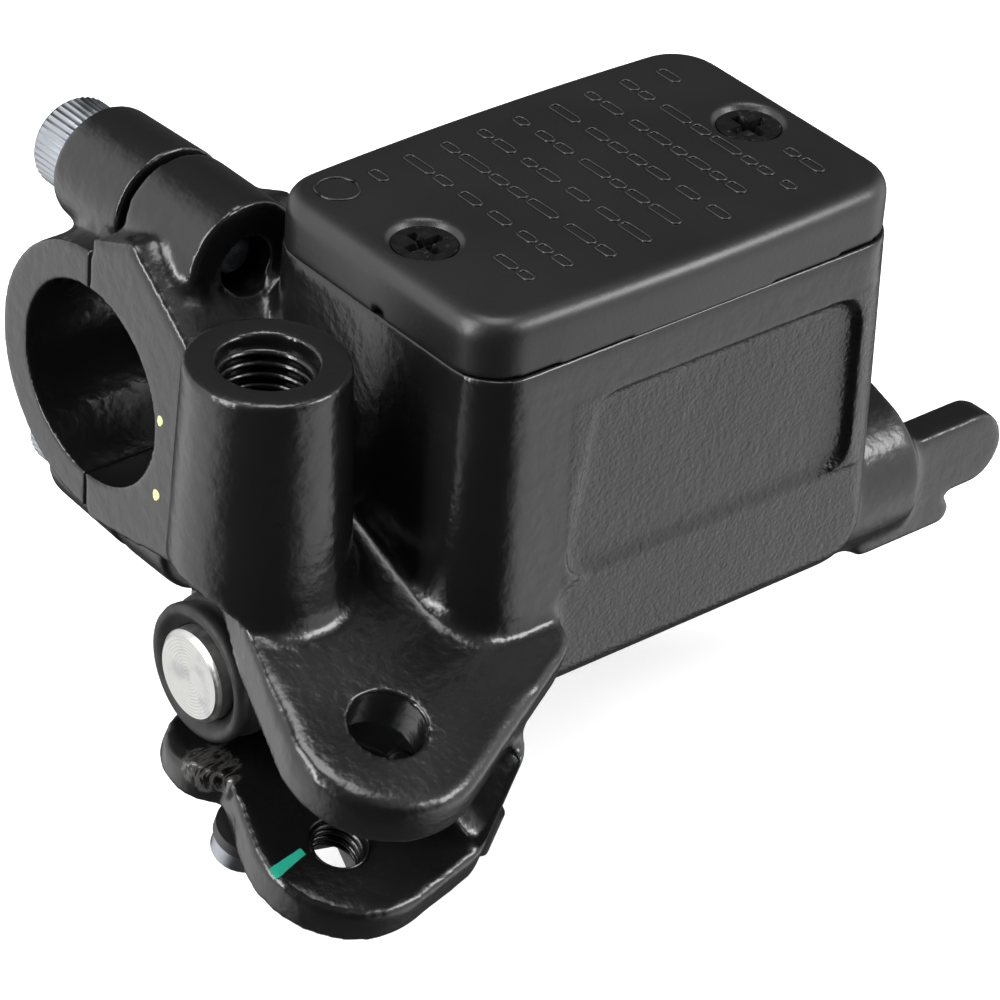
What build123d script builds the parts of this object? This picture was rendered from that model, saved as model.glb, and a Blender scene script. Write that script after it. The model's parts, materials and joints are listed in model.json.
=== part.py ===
from build123d import *
import os
from math import cos, pi, radians, sin, tan

# Front brake master cylinder with its own reservoir, for a motorcycle handlebar.
# Millimetres. Origin at the centre of the handlebar clamp bore.
# +X runs out along the bar to the bar end, +Y forward, +Z up, square to the lid.

# ---- handlebar clamp ----
BAR_R = 11.1            # radius of a 7/8 inch handlebar
CLAMP_WIDTH = 20.0      # along the bar
CLAMP_WALL = 4.2
CLAMP_GAP = 0.8         # between the body and the cap
BOLT_OFFSET = 17.0      # clamp bolt axis above and below the bar axis
BOLT_BOSS_R = 6.9
CAP_BOSS_DRAFT = 2.0
ARM_CROWN = 2.6         # rise of the arm past the bolt axis
ARM_CROWN_Y = 6.4
ARM_HEEL = 1.0          # depth of the arm below the clamp ring at the split
CAP_SEAT = 12.0         # from the bar axis back to the seat of the bolt heads
UPPER_BOSS_REACH = 12.4  # from the bar axis forward to the end of the upper boss
LOWER_BOSS_REACH = 9.0

# ---- clamp bolts, M6 socket head ----
BOLT_R = 3.0
BOLT_CLEARANCE = 0.3
BOLT_HEAD_R = 5.0
BOLT_HEAD_H = 6.0
BOLT_LENGTH = 22.0
BOLT_SOCKET_AF = 5.0
BOLT_SOCKET_DEPTH = 3.0

# ---- barrel, along X ----
BARREL_Y = 31.2
BARREL_Z = -14.1
BORE_R = 6.35
BARREL_WALL = 4.65
BARREL_FACE_X = 18.2    # machined outboard face
BARREL_TAIL_X = -60.0   # inboard end of the round barrel, inside the hose boss
BARREL_END_X = -50.0    # closed inboard end of the bore
POCKET_R = 8.6          # boot pocket in the outboard face
POCKET_DEPTH = 12.2
POCKET_OPEN_X = 12.0    # outboard of this the pocket is open to the rear
SPOT_FACE_R = 13.0      # facing cut round the pocket
SUPPLY_PORT_R = 1.5
RELIEF_PORT_R = 0.35    # just ahead of the primary cup

# ---- piston and its kit ----
PISTON_FACE_X = 20.0
STEM_STEP = 1.49        # radial, from the bore down to the stem
LAND_CLEARANCE = 0.04   # radial, between the piston's lands and the bore
LAND_LENGTH = 4.0
PISTON_WAIST_STEP = 1.95
PISTON_NECK_STEP = 2.75  # under the secondary cup
PISTON_BODY = 22.0      # from the stop shoulder to the front of the last land
PISTON_NOSE_R = 2.6
CUP_LENGTH = 4.2
CUP_CLEARANCE = 0.03
CUP_LIP = 1.3
PISTON_CHAMFER = 0.5
WASHER_THICKNESS = 0.8
CIRCLIP_THICKNESS = 1.0
CIRCLIP_GROOVE_DEPTH = 0.6
CIRCLIP_WIDTH = 2.2
CIRCLIP_OPENING = 5.0
WASHER_CLEARANCE = 0.3
SLOP = 0.05             # end play between stacked pieces

# ---- return spring ----
SPRING_WIRE_R = 0.55
SPRING_CLEARANCE = 1.2  # radial, between the coils and the bore
SPRING_TURNS = 7
SPRING_SEAT_THICKNESS = 0.8
SPRING_SEAT_CLEARANCE = 0.75

# ---- dust boot ----
BOOT_LIP_X = 19.2
BOOT_LIP_R = 7.2
BOOT_WALL = 1.1
BOOT_ROOT = 3.0         # length of the ring that grips the pocket
BOOT_CLEARANCE = 0.06

# ---- reservoir ----
RES_X = -27.2           # centre of the lid
RES_Y = 32.0
LID_LENGTH = 54.6
LID_WIDTH = 35.8
LID_CORNER_R = 5.5
LID_BOW = 0.9           # how far each long side swells at its middle
LID_BOTTOM_Z = 21.6
LID_TOP_Z = 27.7
LID_EDGE_R = 2.0
LID_SKIRT = 2.0
VENT_Y = 1.0            # vent notch under the skirt, forward of the lid's middle
VENT_WIDTH = 1.6
VENT_HEIGHT = 0.9
LID_OVERHANG = 0.12     # of the skirt past the reservoir wall
RIM_STEP = 1.6          # how far the rim stands up inside the skirt
SKIRT_CLEARANCE = 0.14
RES_WALL = 3.6
RES_DRAFT = 1.6         # degrees, each side
RES_FLOOR_Z = -1.6      # inside
RES_BASE_Z = -19.2      # outside
UNDERCUT = 40.0         # larger than what is cut away behind the barrel
BASE_EDGE_R = 7.0
PANEL_DEPTH = 1.1       # recessed panel in the front wall
PANEL_TOP_Z = 16.0
PANEL_BOTTOM_Z = -4.2
PANEL_MARGIN_OUTBOARD = 14.2
PANEL_MARGIN_INBOARD = 5.4
PANEL_SPLAY = 3.3       # how far the outboard edge leans out over the panel's height
PANEL_CORNER_R = 3.0
SILL_DEPTH = 0.6        # recess of the wall below the panel

# ---- lid screws, M4 countersunk ----
SCREW_SPACING = 42.0
SCREW_R = 2.0
SCREW_HEAD_R = 3.3
SCREW_LENGTH = 12.0
SCREW_POST_R = 4.2
SCREW_CLEARANCE = 0.2
THREAD_CLEARANCE = 0.05
SCREW_HOLE_DEPTH = 14.0
SCREW_SUNK = 0.5        # head below the lid's top
CROSS_LENGTH = 4.4
CROSS_WIDTH = 1.1
CROSS_DEPTH = 1.6
CROSS_DRAFT = 12.0

# ---- diaphragm and its plate ----
FLANGE_THICKNESS = 1.2
PLATE_THICKNESS = 1.0
BELLOWS_LENGTH = 28.0
BELLOWS_DEPTH = 8.0
BELLOWS_WIDTH = 22.0
BELLOWS_WALL = 1.0
PLATE_LIP = 1.0

# ---- port protector ----
PROTECTOR_LENGTH = 12.0
PROTECTOR_WIDTH = 8.0
PROTECTOR_HEIGHT = 2.6
PROTECTOR_WALL = 0.6

# ---- sight glass in the rear wall ----
GLASS_X = -31.0
GLASS_Z = 6.5
GLASS_R = 6.6
GLASS_THICKNESS = 2.4
GLASS_SEAT = 1.4        # width of the ledge the seal sits on
SEAL_WIRE_R = 0.7
RING_WIDTH = 1.6
RING_THICKNESS = 0.8
GLASS_BOSS = 2.0        # the seat stands proud of the rear wall
GLASS_BOSS_WALL = 2.0
GLASS_CLEARANCE = 0.05
GLASS_EDGE_R = 0.4

# ---- mirror boss ----
MIRROR_X = 13.1
MIRROR_Y = 32.8
MIRROR_TOP_Z = 21.0
MIRROR_TOP_R = 8.2
MIRROR_DRAFT = 2.4
MIRROR_THREAD_R = 5.0   # M10 x 1.25
MIRROR_THREAD_DEPTH = 22.0

# ---- lever bracket ----
LEVER_TILT = 19.0       # degrees, pivot axis leaning forward from +Z
PIVOT_X = 13.3
PIVOT_REACH = 19.7      # from the barrel axis to the pivot axis
PIVOT_R = 4.0
PIVOT_THREAD_R = 3.0    # M6 in the lower ear
SLOT_GAP = 14.0
UPPER_EAR = 5.4
LOWER_EAR = 4.6
UPPER_EAR_R = 10.4
LOWER_EAR_R = 10.2
LOWER_EAR_AT = (11.6, 18.9)     # middle of the lower ear: x and reach
SLOT_R = 13.2           # swept by the root of the lever
UPPER_ROOT = (-6.6, 16.6, 4.2)  # disc where the upper ear runs into the reservoir: x, reach, radius
UPPER_FOOT_X = -4.4     # the same disc moved back to the barrel axis
LOWER_ROOT = (2.4, 22.0, 5.2)   # the same for the lower ear
WEB_X = -8.0            # inboard edge of the web that joins the ears
LOBE_X = 16.9           # rounded lobe of the lower ear below the piston
LOBE_REACH = 3.6
LOBE_R = 5.1

# ---- hose port ----
PORT_REACH = 10.5       # from the lid's end to the face of the hose port
PORT_R = 9.6
PORT_BOSS_LENGTH = 15.0
PORT_THREAD_R = 5.0     # M10 x 1.25 banjo bolt
PORT_THREAD_DEPTH = 9.4
PORT_PASSAGE_R = 1.5
HORN_Y = 38.0           # round lug beside the port that carries the prongs
HORN_Z = -15.2
HORN_R = 8.5
PRONG_Y = 42.2
PRONG_THICKNESS = 4.4
LONG_PRONG = (14.0, 8.6)    # length past the port face, height
SHORT_PRONG = (7.2, 3.4)
LONG_PRONG_Z = -15.0        # mid height
PRONG_GAP = 0.4

# ---- brake light switch, screwed under the lower ear ----
SWITCH_SCREW_AT = (17.3, 11.6)  # x and reach from the barrel axis
SWITCH_TURN = 14.0      # degrees, case swung forward towards its inboard end
SWITCH_LUG_R = 3.4
SWITCH_LUG_THICKNESS = 1.4
SWITCH_LUG_LENGTH = 11.2
SWITCH_LENGTH = 15.8
SWITCH_WIDTH = 9.0
SWITCH_HEIGHT = 6.4
SWITCH_WALL = 1.1
SWITCH_GAP = 0.05       # under the ear
SWITCH_CORNER_R = 1.0
SWITCH_SCREW_R = 1.5
SWITCH_SCREW_HEAD_R = 3.1
SWITCH_SCREW_HEAD_H = 2.4
SWITCH_SCREW_GRIP = 3.6
PLUNGER_INSET = 4.0     # from the lug end of the case
PLUNGER_R = 1.5
PLUNGER_TRAVEL = 1.5
PLUNGER_PROUD = 2.0     # above the floor of the lever slot
PLUNGER_CLEARANCE = 0.06
PLUNGER_FOOT_R = 2.0
PLUNGER_FOOT_THICKNESS = 0.8
CHAMBER_LENGTH = 5.8
CONTACT_LENGTH = 4.8
CONTACT_WIDTH = 3.0
CONTACT_THICKNESS = 0.3
CONTACT_SPRING_R = 1.0
CONTACT_SPRING_WIRE_R = 0.15
CONTACT_SPRING_TURNS = 3
BLADE_WIDTH = 2.8
BLADE_THICKNESS = 0.8
BLADE_LENGTH = 3.0      # inside the case
BLADE_PROUD = 5.0
BLADE_SPACING = 4.0
BLADE_INSET = 5.4       # from the inboard end of the case

# ---- derived places ----
CLAMP_R = BAR_R + CLAMP_WALL
BARREL_R = BORE_R + BARREL_WALL
GROOVE_R = POCKET_R + CIRCLIP_GROOVE_DEPTH
LAND_R = BORE_R - LAND_CLEARANCE
STEM_R = BORE_R - STEM_STEP
PISTON_WAIST_R = BORE_R - PISTON_WAIST_STEP
PISTON_NECK_R = BORE_R - PISTON_NECK_STEP
SPRING_MEAN_R = BORE_R - SPRING_CLEARANCE - SPRING_WIRE_R
SPRING_SEAT_R = BORE_R - SPRING_SEAT_CLEARANCE
POCKET_FLOOR_X = BARREL_FACE_X - POCKET_DEPTH
WASHER_X = POCKET_FLOOR_X + SLOP
CIRCLIP_X = WASHER_X + WASHER_THICKNESS + SLOP
BOOT_X = CIRCLIP_X + CIRCLIP_THICKNESS + SLOP
LAND_3_X = POCKET_FLOOR_X - PISTON_BODY
CUP_X = LAND_3_X - SLOP - CUP_LENGTH
SPRING_SEAT_X = CUP_X - SLOP - SPRING_SEAT_THICKNESS
RELIEF_PORT_X = CUP_X - 1.0
PORT_FACE_X = RES_X - LID_LENGTH / 2 - PORT_REACH
HOSE_JOINT_X = PORT_FACE_X + PORT_THREAD_DEPTH
SUPPLY_PORT_X = LAND_3_X + LAND_LENGTH
WALL_LENGTH = LID_LENGTH - 2 * LID_OVERHANG
WALL_WIDTH = LID_WIDTH - 2 * LID_OVERHANG
SHOULDER_Z = LID_BOTTOM_Z - SKIRT_CLEARANCE
RIM_Z = SHOULDER_Z + RIM_STEP
RIM_INSET = LID_SKIRT + SKIRT_CLEARANCE - LID_OVERHANG
RIM_LENGTH = WALL_LENGTH - 2 * RIM_INSET
RIM_WIDTH = WALL_WIDTH - 2 * RIM_INSET
CAVITY_LENGTH = WALL_LENGTH - 2 * RES_WALL
CAVITY_WIDTH = WALL_WIDTH - 2 * RES_WALL
CAVITY_CORNER_R = LID_CORNER_R - RIM_INSET
FRONT_Y = RES_Y + WALL_WIDTH / 2
REAR_Y = RES_Y - WALL_WIDTH / 2
FRONT_PLANE = Plane(
    origin=(0, FRONT_Y + SHOULDER_Z * tan(radians(RES_DRAFT)), 0),
    x_dir=(-1, 0, 0),
    z_dir=(0, cos(radians(RES_DRAFT)), sin(radians(RES_DRAFT))),
)
PANEL_OUTBOARD_X = RES_X + WALL_LENGTH / 2 - PANEL_MARGIN_OUTBOARD
PANEL_INBOARD_X = RES_X - WALL_LENGTH / 2 + PANEL_MARGIN_INBOARD
PANEL_SLOPE = PANEL_SPLAY / (PANEL_TOP_Z - PANEL_BOTTOM_Z)
PANEL_OUTLINE = (
    (-PANEL_OUTBOARD_X, PANEL_TOP_Z),
    (-PANEL_INBOARD_X, PANEL_TOP_Z),
    (-PANEL_INBOARD_X, PANEL_BOTTOM_Z),
    (-PANEL_OUTBOARD_X - PANEL_SPLAY, PANEL_BOTTOM_Z),
)
SILL_OUTLINE = (
    (-PANEL_OUTBOARD_X - PANEL_SPLAY, PANEL_BOTTOM_Z),
    (-PANEL_INBOARD_X, PANEL_BOTTOM_Z),
    (LID_LENGTH - RES_X, PANEL_BOTTOM_Z - PANEL_MARGIN_INBOARD),
    (LID_LENGTH - RES_X, -LID_LENGTH),
    (-PANEL_OUTBOARD_X - PANEL_SLOPE * (PANEL_TOP_Z + LID_LENGTH), -LID_LENGTH),
)
LEVER_PLANE = Plane(
    origin=(0, BARREL_Y, BARREL_Z),
    x_dir=(1, 0, 0),
    z_dir=(0, sin(radians(LEVER_TILT)), cos(radians(LEVER_TILT))),
)
PIVOT = (PIVOT_X, PIVOT_REACH)
SLOT_OUTLINE = (
    (PIVOT_X - SLOT_R, PIVOT_REACH),
    (PIVOT_X - SLOT_R, 2 * PIVOT_REACH),
    (3 * PIVOT_X, 2 * PIVOT_REACH),
    (3 * PIVOT_X, -2 * POCKET_R),
    (POCKET_OPEN_X, -2 * POCKET_R),
    (POCKET_OPEN_X, PIVOT_REACH - SLOT_R),
    (PIVOT_X, PIVOT_REACH - SLOT_R),
)
REAR_OUTLINE = (
    (POCKET_OPEN_X, LOBE_REACH - LOBE_R),
    (3 * PIVOT_X, LOBE_REACH - LOBE_R),
    (3 * PIVOT_X, -2 * POCKET_R),
    (POCKET_OPEN_X, -2 * POCKET_R),
)
SCREW_XS = (RES_X + SCREW_SPACING / 2, RES_X - SCREW_SPACING / 2)
BOLT_ZS = (BOLT_OFFSET, -BOLT_OFFSET)
BOLT_TIP_Y = BOLT_LENGTH - CAP_SEAT
ARM_OUTLINE = (
    (0.0, BOLT_OFFSET),
    (ARM_CROWN_Y, BOLT_OFFSET + ARM_CROWN),
    (CLAMP_R, CLAMP_R * 0.85),
    (BARREL_Y, BARREL_Z + BARREL_R),
    (BARREL_Y, BARREL_Z),
    (CLAMP_R, BARREL_Z),
    (0.0, -CLAMP_R - ARM_HEEL),
)
FLANGE_Z = RIM_Z
PLATE_Z = FLANGE_Z + FLANGE_THICKNESS
LID_ROOF_Z = PLATE_Z + PLATE_THICKNESS
GLASS_FACE_Y = REAR_Y - GLASS_BOSS
GLASS_SEAT_R = GLASS_R + GLASS_CLEARANCE
GLASS_LEDGE_Y = GLASS_FACE_Y + RING_THICKNESS + GLASS_THICKNESS + 2 * SEAL_WIRE_R + 2 * SLOP
SWITCH_TOP_W = -SLOT_GAP / 2 - LOWER_EAR
PRONGS = (
    (LONG_PRONG[0], LONG_PRONG[1], LONG_PRONG_Z),
    (
        SHORT_PRONG[0],
        SHORT_PRONG[1],
        LONG_PRONG_Z - LONG_PRONG[1] / 2 - PRONG_GAP - SHORT_PRONG[1] / 2,
    ),
)
BARREL_AXIS = Axis((0, BARREL_Y, BARREL_Z), (1, 0, 0))
HALF_SECTION = Plane(origin=(0, BARREL_Y, BARREL_Z), x_dir=(1, 0, 0), z_dir=(0, -1, 0))
LAND_1_X = POCKET_FLOOR_X - LAND_LENGTH
LAND_2_X = LAND_1_X - CUP_LENGTH - 2 * SLOP
SCREW_TOP_Z = LID_TOP_Z - SCREW_SUNK
SWITCH_PLANE = Plane(
    origin=LEVER_PLANE.from_local_coords((*SWITCH_SCREW_AT, SWITCH_TOP_W - SWITCH_GAP)),
    x_dir=LEVER_PLANE.x_dir * -cos(radians(SWITCH_TURN)) + LEVER_PLANE.y_dir * sin(radians(SWITCH_TURN)),
    z_dir=LEVER_PLANE.z_dir,
)
SWITCH_MIDDLE = (SWITCH_LUG_LENGTH + SWITCH_LENGTH / 2, 0)
SWITCH_TAIL = SWITCH_LUG_LENGTH + SWITCH_LENGTH
PLUNGER_AT = (SWITCH_LUG_LENGTH + PLUNGER_INSET, 0)
PLUNGER_HOLE_R = PLUNGER_R + PLUNGER_CLEARANCE
PLUNGER_TOP = SWITCH_GAP + LOWER_EAR + PLUNGER_PROUD
PLUNGER_FOOT = -SWITCH_WALL - SLOP - PLUNGER_FOOT_THICKNESS
CONTACT_SPRING_FROM = -SWITCH_HEIGHT + SWITCH_WALL + SLOP + CONTACT_SPRING_WIRE_R
CONTACT_SPRING_TO = PLUNGER_FOOT - 2 * SLOP - CONTACT_THICKNESS - CONTACT_SPRING_WIRE_R
CONTACT_SPRING_LENGTH = CONTACT_SPRING_TO - CONTACT_SPRING_FROM
BLADE_PLANE = Plane(
    origin=SWITCH_PLANE.from_local_coords((SWITCH_TAIL - BLADE_INSET, 0, -SWITCH_HEIGHT)),
    x_dir=SWITCH_PLANE.x_dir,
    z_dir=SWITCH_PLANE.z_dir * -1,
)
SWITCH_AXIS = Axis((0, BARREL_Y, BARREL_Z), LEVER_PLANE.z_dir)
BLADE_PLACES = ((0, -BLADE_SPACING / 2), (0, BLADE_SPACING / 2))
QUADRANTS = ((1, 1), (-1, 1), (-1, -1), (1, -1))

os.makedirs("parts", exist_ok=True)


def save(name, piece):
    """Labels one finished piece and writes it as its own file."""
    piece.part.label = name
    export_step(piece.part, f"parts/{name}.step")


def along_x(x, y=BARREL_Y, z=BARREL_Z):
    """Plane facing +X whose own origin is on the barrel axis."""
    return Plane(origin=(x, y, z), x_dir=(0, 1, 0), z_dir=(1, 0, 0))


def along_y(y, x=0.0, z=0.0):
    """Plane facing +Y with +X across it."""
    return Plane(origin=(x, y, z), x_dir=(-1, 0, 0), z_dir=(0, 1, 0))


def round_x(radius, x_from, x_to, mode=Mode.ADD, y=BARREL_Y, z=BARREL_Z):
    """Adds or cuts a cylinder along X."""
    with BuildSketch(along_x(x_from, y, z)) as disc:
        Circle(radius)
    extrude(disc.sketch, amount=x_to - x_from, mode=mode)


def round_y(radius, x, z, y_from, y_to, mode=Mode.ADD, taper=0.0):
    """Adds or cuts a cylinder or cone along Y."""
    with BuildSketch(along_y(y_from, x, z)) as disc:
        Circle(radius)
    extrude(disc.sketch, amount=y_to - y_from, mode=mode, taper=taper)


def bowed_outline(length, width, corner_r, bow):
    """Rectangle with rounded corners whose long sides swell by bow."""
    corners = [(sx * length / 2, sy * (width / 2 - bow)) for sx, sy in QUADRANTS]
    with BuildSketch(mode=Mode.PRIVATE) as outline:
        with BuildLine():
            ThreePointArc(corners[0], (0, width / 2), corners[1])
            Line(corners[1], corners[2])
            ThreePointArc(corners[2], (0, -width / 2), corners[3])
            Line(corners[3], corners[0])
        make_face()
        fillet(outline.vertices(), corner_r)
    return outline.sketch


def screw_holes(top_z, depth):
    """Cuts clearance holes for the two lid screws down from top_z."""
    with BuildSketch(Plane.XY.offset(top_z)) as holes:
        with Locations(*[(x, RES_Y) for x in SCREW_XS]):
            Circle(SCREW_R + SCREW_CLEARANCE)
    extrude(holes.sketch, amount=-depth, mode=Mode.SUBTRACT)


# ---- casting ----
with BuildPart() as casting:
    # reservoir tub, wider towards its base
    with BuildSketch(Plane.XY.offset(SHOULDER_Z)):
        with Locations((RES_X, RES_Y)):
            RectangleRounded(WALL_LENGTH, WALL_WIDTH, LID_CORNER_R)
    extrude(amount=-(SHOULDER_Z - RES_BASE_Z), taper=-RES_DRAFT)
    fillet(casting.edges().group_by(Axis.Z)[0], BASE_EDGE_R)
    # rim inside the lid's skirt
    with BuildSketch(Plane.XY.offset(SHOULDER_Z)):
        with Locations((RES_X, RES_Y)):
            RectangleRounded(RIM_LENGTH, RIM_WIDTH, LID_CORNER_R - RIM_INSET)
    extrude(amount=RIM_Z - SHOULDER_Z)
    # behind the barrel the tub stops at the reservoir floor
    with BuildSketch(along_x(PORT_FACE_X)):
        with Locations((-BARREL_R - UNDERCUT, RES_FLOOR_Z - RES_WALL - UNDERCUT - BARREL_Z)):
            Rectangle(2 * UNDERCUT, 2 * UNDERCUT)
    extrude(amount=-2 * PORT_FACE_X, mode=Mode.SUBTRACT)
    # panel sunk in the front wall, parallel to its draft
    for outline, depth in ((PANEL_OUTLINE, PANEL_DEPTH), (SILL_OUTLINE, SILL_DEPTH)):
        with BuildSketch(FRONT_PLANE.offset(-depth)) as recess:
            with BuildLine():
                Polyline(*outline, close=True)
            make_face()
            fillet(recess.vertices().group_by(Axis.Z)[-1], PANEL_CORNER_R)
        extrude(amount=3 * PANEL_DEPTH, mode=Mode.SUBTRACT)
    # barrel
    round_x(BARREL_R, BARREL_TAIL_X, BARREL_FACE_X)
    # mirror boss
    with BuildSketch(Plane.XY.offset(MIRROR_TOP_Z)):
        with Locations((MIRROR_X, MIRROR_Y)):
            Circle(MIRROR_TOP_R)
    extrude(amount=-(MIRROR_TOP_Z - BARREL_Z), taper=-MIRROR_DRAFT)
    # facing cut round the boot pocket
    round_x(SPOT_FACE_R, BARREL_FACE_X, MIRROR_X + 3 * MIRROR_TOP_R, Mode.SUBTRACT)
    # arm from the clamp to the barrel
    with BuildSketch(along_x(-CLAMP_WIDTH / 2, 0, 0)):
        with BuildLine():
            Polyline(*ARM_OUTLINE, close=True)
        make_face()
        Circle(CLAMP_R)
        with Locations((-CLAMP_R, 0)):
            Rectangle(2 * (CLAMP_R - CLAMP_GAP / 2), 3 * CLAMP_R, mode=Mode.SUBTRACT)
    extrude(amount=CLAMP_WIDTH)
    for z, reach in zip(BOLT_ZS, (UPPER_BOSS_REACH, LOWER_BOSS_REACH)):
        round_y(BOLT_BOSS_R, 0, z, CLAMP_GAP / 2, reach)
    # ears for the lever, each run back to the reservoir and the barrel
    with BuildSketch(LEVER_PLANE.offset(SLOT_GAP / 2)):
        with Locations(PIVOT):
            Circle(UPPER_EAR_R)
        with Locations(UPPER_ROOT[:2], (UPPER_FOOT_X, 0), (BARREL_FACE_X - UPPER_ROOT[2], 0)):
            Circle(UPPER_ROOT[2])
        make_hull()
    extrude(amount=UPPER_EAR)
    with BuildSketch(LEVER_PLANE.offset(-SLOT_GAP / 2 - LOWER_EAR)):
        with Locations(LOWER_EAR_AT):
            Circle(LOWER_EAR_R)
        with Locations(LOWER_ROOT[:2], (WEB_X + LOWER_ROOT[2], LOBE_REACH + LOWER_ROOT[2])):
            Circle(LOWER_ROOT[2])
        with Locations((LOBE_X - LOBE_R, LOBE_REACH)):
            Circle(LOBE_R)
        make_hull()
        with Locations((LOBE_X, LOBE_REACH)):
            Circle(LOBE_R)
    extrude(amount=LOWER_EAR + SLOT_GAP)
    # hose boss beside the port, with its two prongs
    with BuildSketch(along_x(PORT_FACE_X, 0, 0)):
        with Locations((BARREL_Y, BARREL_Z)):
            Circle(PORT_R)
        with Locations((HORN_Y, HORN_Z)):
            Circle(HORN_R)
        make_hull()
    extrude(amount=PORT_BOSS_LENGTH)
    for length, height, z in PRONGS:
        with BuildSketch(along_y(PRONG_Y - PRONG_THICKNESS / 2, PORT_FACE_X, z)) as prong:
            with Locations(((length - height) / 2 - height / 2, 0)):
                SlotOverall(length + 2 * height, height)
        extrude(amount=PRONG_THICKNESS)

    # ---- cuts ----
    # reservoir
    with BuildSketch(Plane.XY.offset(RES_FLOOR_Z)):
        with Locations((RES_X, RES_Y)):
            RectangleRounded(CAVITY_LENGTH, CAVITY_WIDTH, CAVITY_CORNER_R)
        for x in SCREW_XS:
            with Locations((x, RES_Y)):
                Circle(SCREW_POST_R, mode=Mode.SUBTRACT)
    extrude(amount=RIM_Z - RES_FLOOR_Z, mode=Mode.SUBTRACT)
    with BuildSketch(Plane.XY.offset(RIM_Z)):
        for x in SCREW_XS:
            with Locations((x, RES_Y)):
                Circle(SCREW_R + THREAD_CLEARANCE)
    extrude(amount=-SCREW_HOLE_DEPTH, mode=Mode.SUBTRACT)
    # bar bore and clamp bolt holes
    round_x(BAR_R, -CLAMP_WIDTH, CLAMP_WIDTH, Mode.SUBTRACT, 0, 0)
    for z, reach in zip(BOLT_ZS, (UPPER_BOSS_REACH, LOWER_BOSS_REACH)):
        round_y(BOLT_R + THREAD_CLEARANCE, 0, z, -CLAMP_GAP, reach + 1, Mode.SUBTRACT)
    # bore, boot pocket and circlip groove
    round_x(BORE_R, BARREL_END_X, BARREL_FACE_X, Mode.SUBTRACT)
    round_x(POCKET_R, POCKET_FLOOR_X, BARREL_FACE_X + 2 * LOBE_R, Mode.SUBTRACT)
    groove_x = CIRCLIP_X - SLOP / 2
    round_x(GROOVE_R, groove_x, groove_x + CIRCLIP_THICKNESS + SLOP, Mode.SUBTRACT)
    # ports between the reservoir and the bore
    for x, radius in ((SUPPLY_PORT_X, SUPPLY_PORT_R), (RELIEF_PORT_X, RELIEF_PORT_R)):
        with BuildSketch(Plane.XY.offset(RES_FLOOR_Z)):
            with Locations((x, BARREL_Y)):
                Circle(radius)
        extrude(amount=BARREL_Z - RES_FLOOR_Z, mode=Mode.SUBTRACT)
    # hose port
    round_x(PORT_THREAD_R, PORT_FACE_X, HOSE_JOINT_X, Mode.SUBTRACT)
    round_x(PORT_PASSAGE_R, PORT_FACE_X, BARREL_END_X, Mode.SUBTRACT)
    # slot for the lever
    with BuildSketch(LEVER_PLANE.offset(-SLOT_GAP / 2)):
        with Locations(PIVOT):
            Circle(SLOT_R)
        with BuildLine():
            Polyline(*SLOT_OUTLINE, close=True)
        make_face()
    extrude(amount=SLOT_GAP, mode=Mode.SUBTRACT)
    # the rear of the barrel's outboard end is cut away below the slot too
    with BuildSketch(LEVER_PLANE.offset(SLOT_GAP / 2)):
        with BuildLine():
            Polyline(*REAR_OUTLINE, close=True)
        make_face()
    extrude(amount=-3 * SLOT_GAP, mode=Mode.SUBTRACT)
    # pivot hole in the upper ear, tapped hole in the lower one
    with BuildSketch(LEVER_PLANE):
        with Locations(PIVOT):
            Circle(PIVOT_R)
    extrude(amount=SLOT_GAP / 2 + 2 * UPPER_EAR, mode=Mode.SUBTRACT)
    with BuildSketch(LEVER_PLANE):
        with Locations(PIVOT):
            Circle(PIVOT_THREAD_R)
    extrude(amount=-(SLOT_GAP / 2 + 2 * LOWER_EAR), mode=Mode.SUBTRACT)
    # mirror thread
    with BuildSketch(Plane.XY.offset(MIRROR_TOP_Z)):
        with Locations((MIRROR_X, MIRROR_Y)):
            Circle(MIRROR_THREAD_R)
    extrude(amount=-MIRROR_THREAD_DEPTH, mode=Mode.SUBTRACT)
    # sight glass: seat boss, pocket and window
    round_y(GLASS_SEAT_R + GLASS_BOSS_WALL, GLASS_X, GLASS_Z, GLASS_FACE_Y, REAR_Y + 1)
    round_y(GLASS_SEAT_R, GLASS_X, GLASS_Z, GLASS_FACE_Y, GLASS_LEDGE_Y, Mode.SUBTRACT)
    round_y(GLASS_R - GLASS_SEAT, GLASS_X, GLASS_Z, GLASS_FACE_Y, REAR_Y + 2 * RES_WALL, Mode.SUBTRACT)
    # tapped hole for the switch screw, and the plunger's way up into the slot
    with BuildSketch(SWITCH_PLANE):
        Circle(SWITCH_SCREW_R + THREAD_CLEARANCE)
    extrude(amount=SWITCH_GAP + SWITCH_SCREW_GRIP, mode=Mode.SUBTRACT)
    with BuildSketch(SWITCH_PLANE):
        with Locations(PLUNGER_AT):
            Circle(PLUNGER_HOLE_R)
    extrude(amount=PLUNGER_TOP + PLUNGER_PROUD, mode=Mode.SUBTRACT)
# the hose boss is a piece of its own, met flat at the bottom of its thread
for name, side in (("master_cylinder_body", Keep.TOP), ("hose_boss", Keep.BOTTOM)):
    with BuildPart() as piece:
        add(casting.part)
        split(bisect_by=along_x(HOSE_JOINT_X, 0, 0), keep=side)
    save(name, piece)

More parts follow.
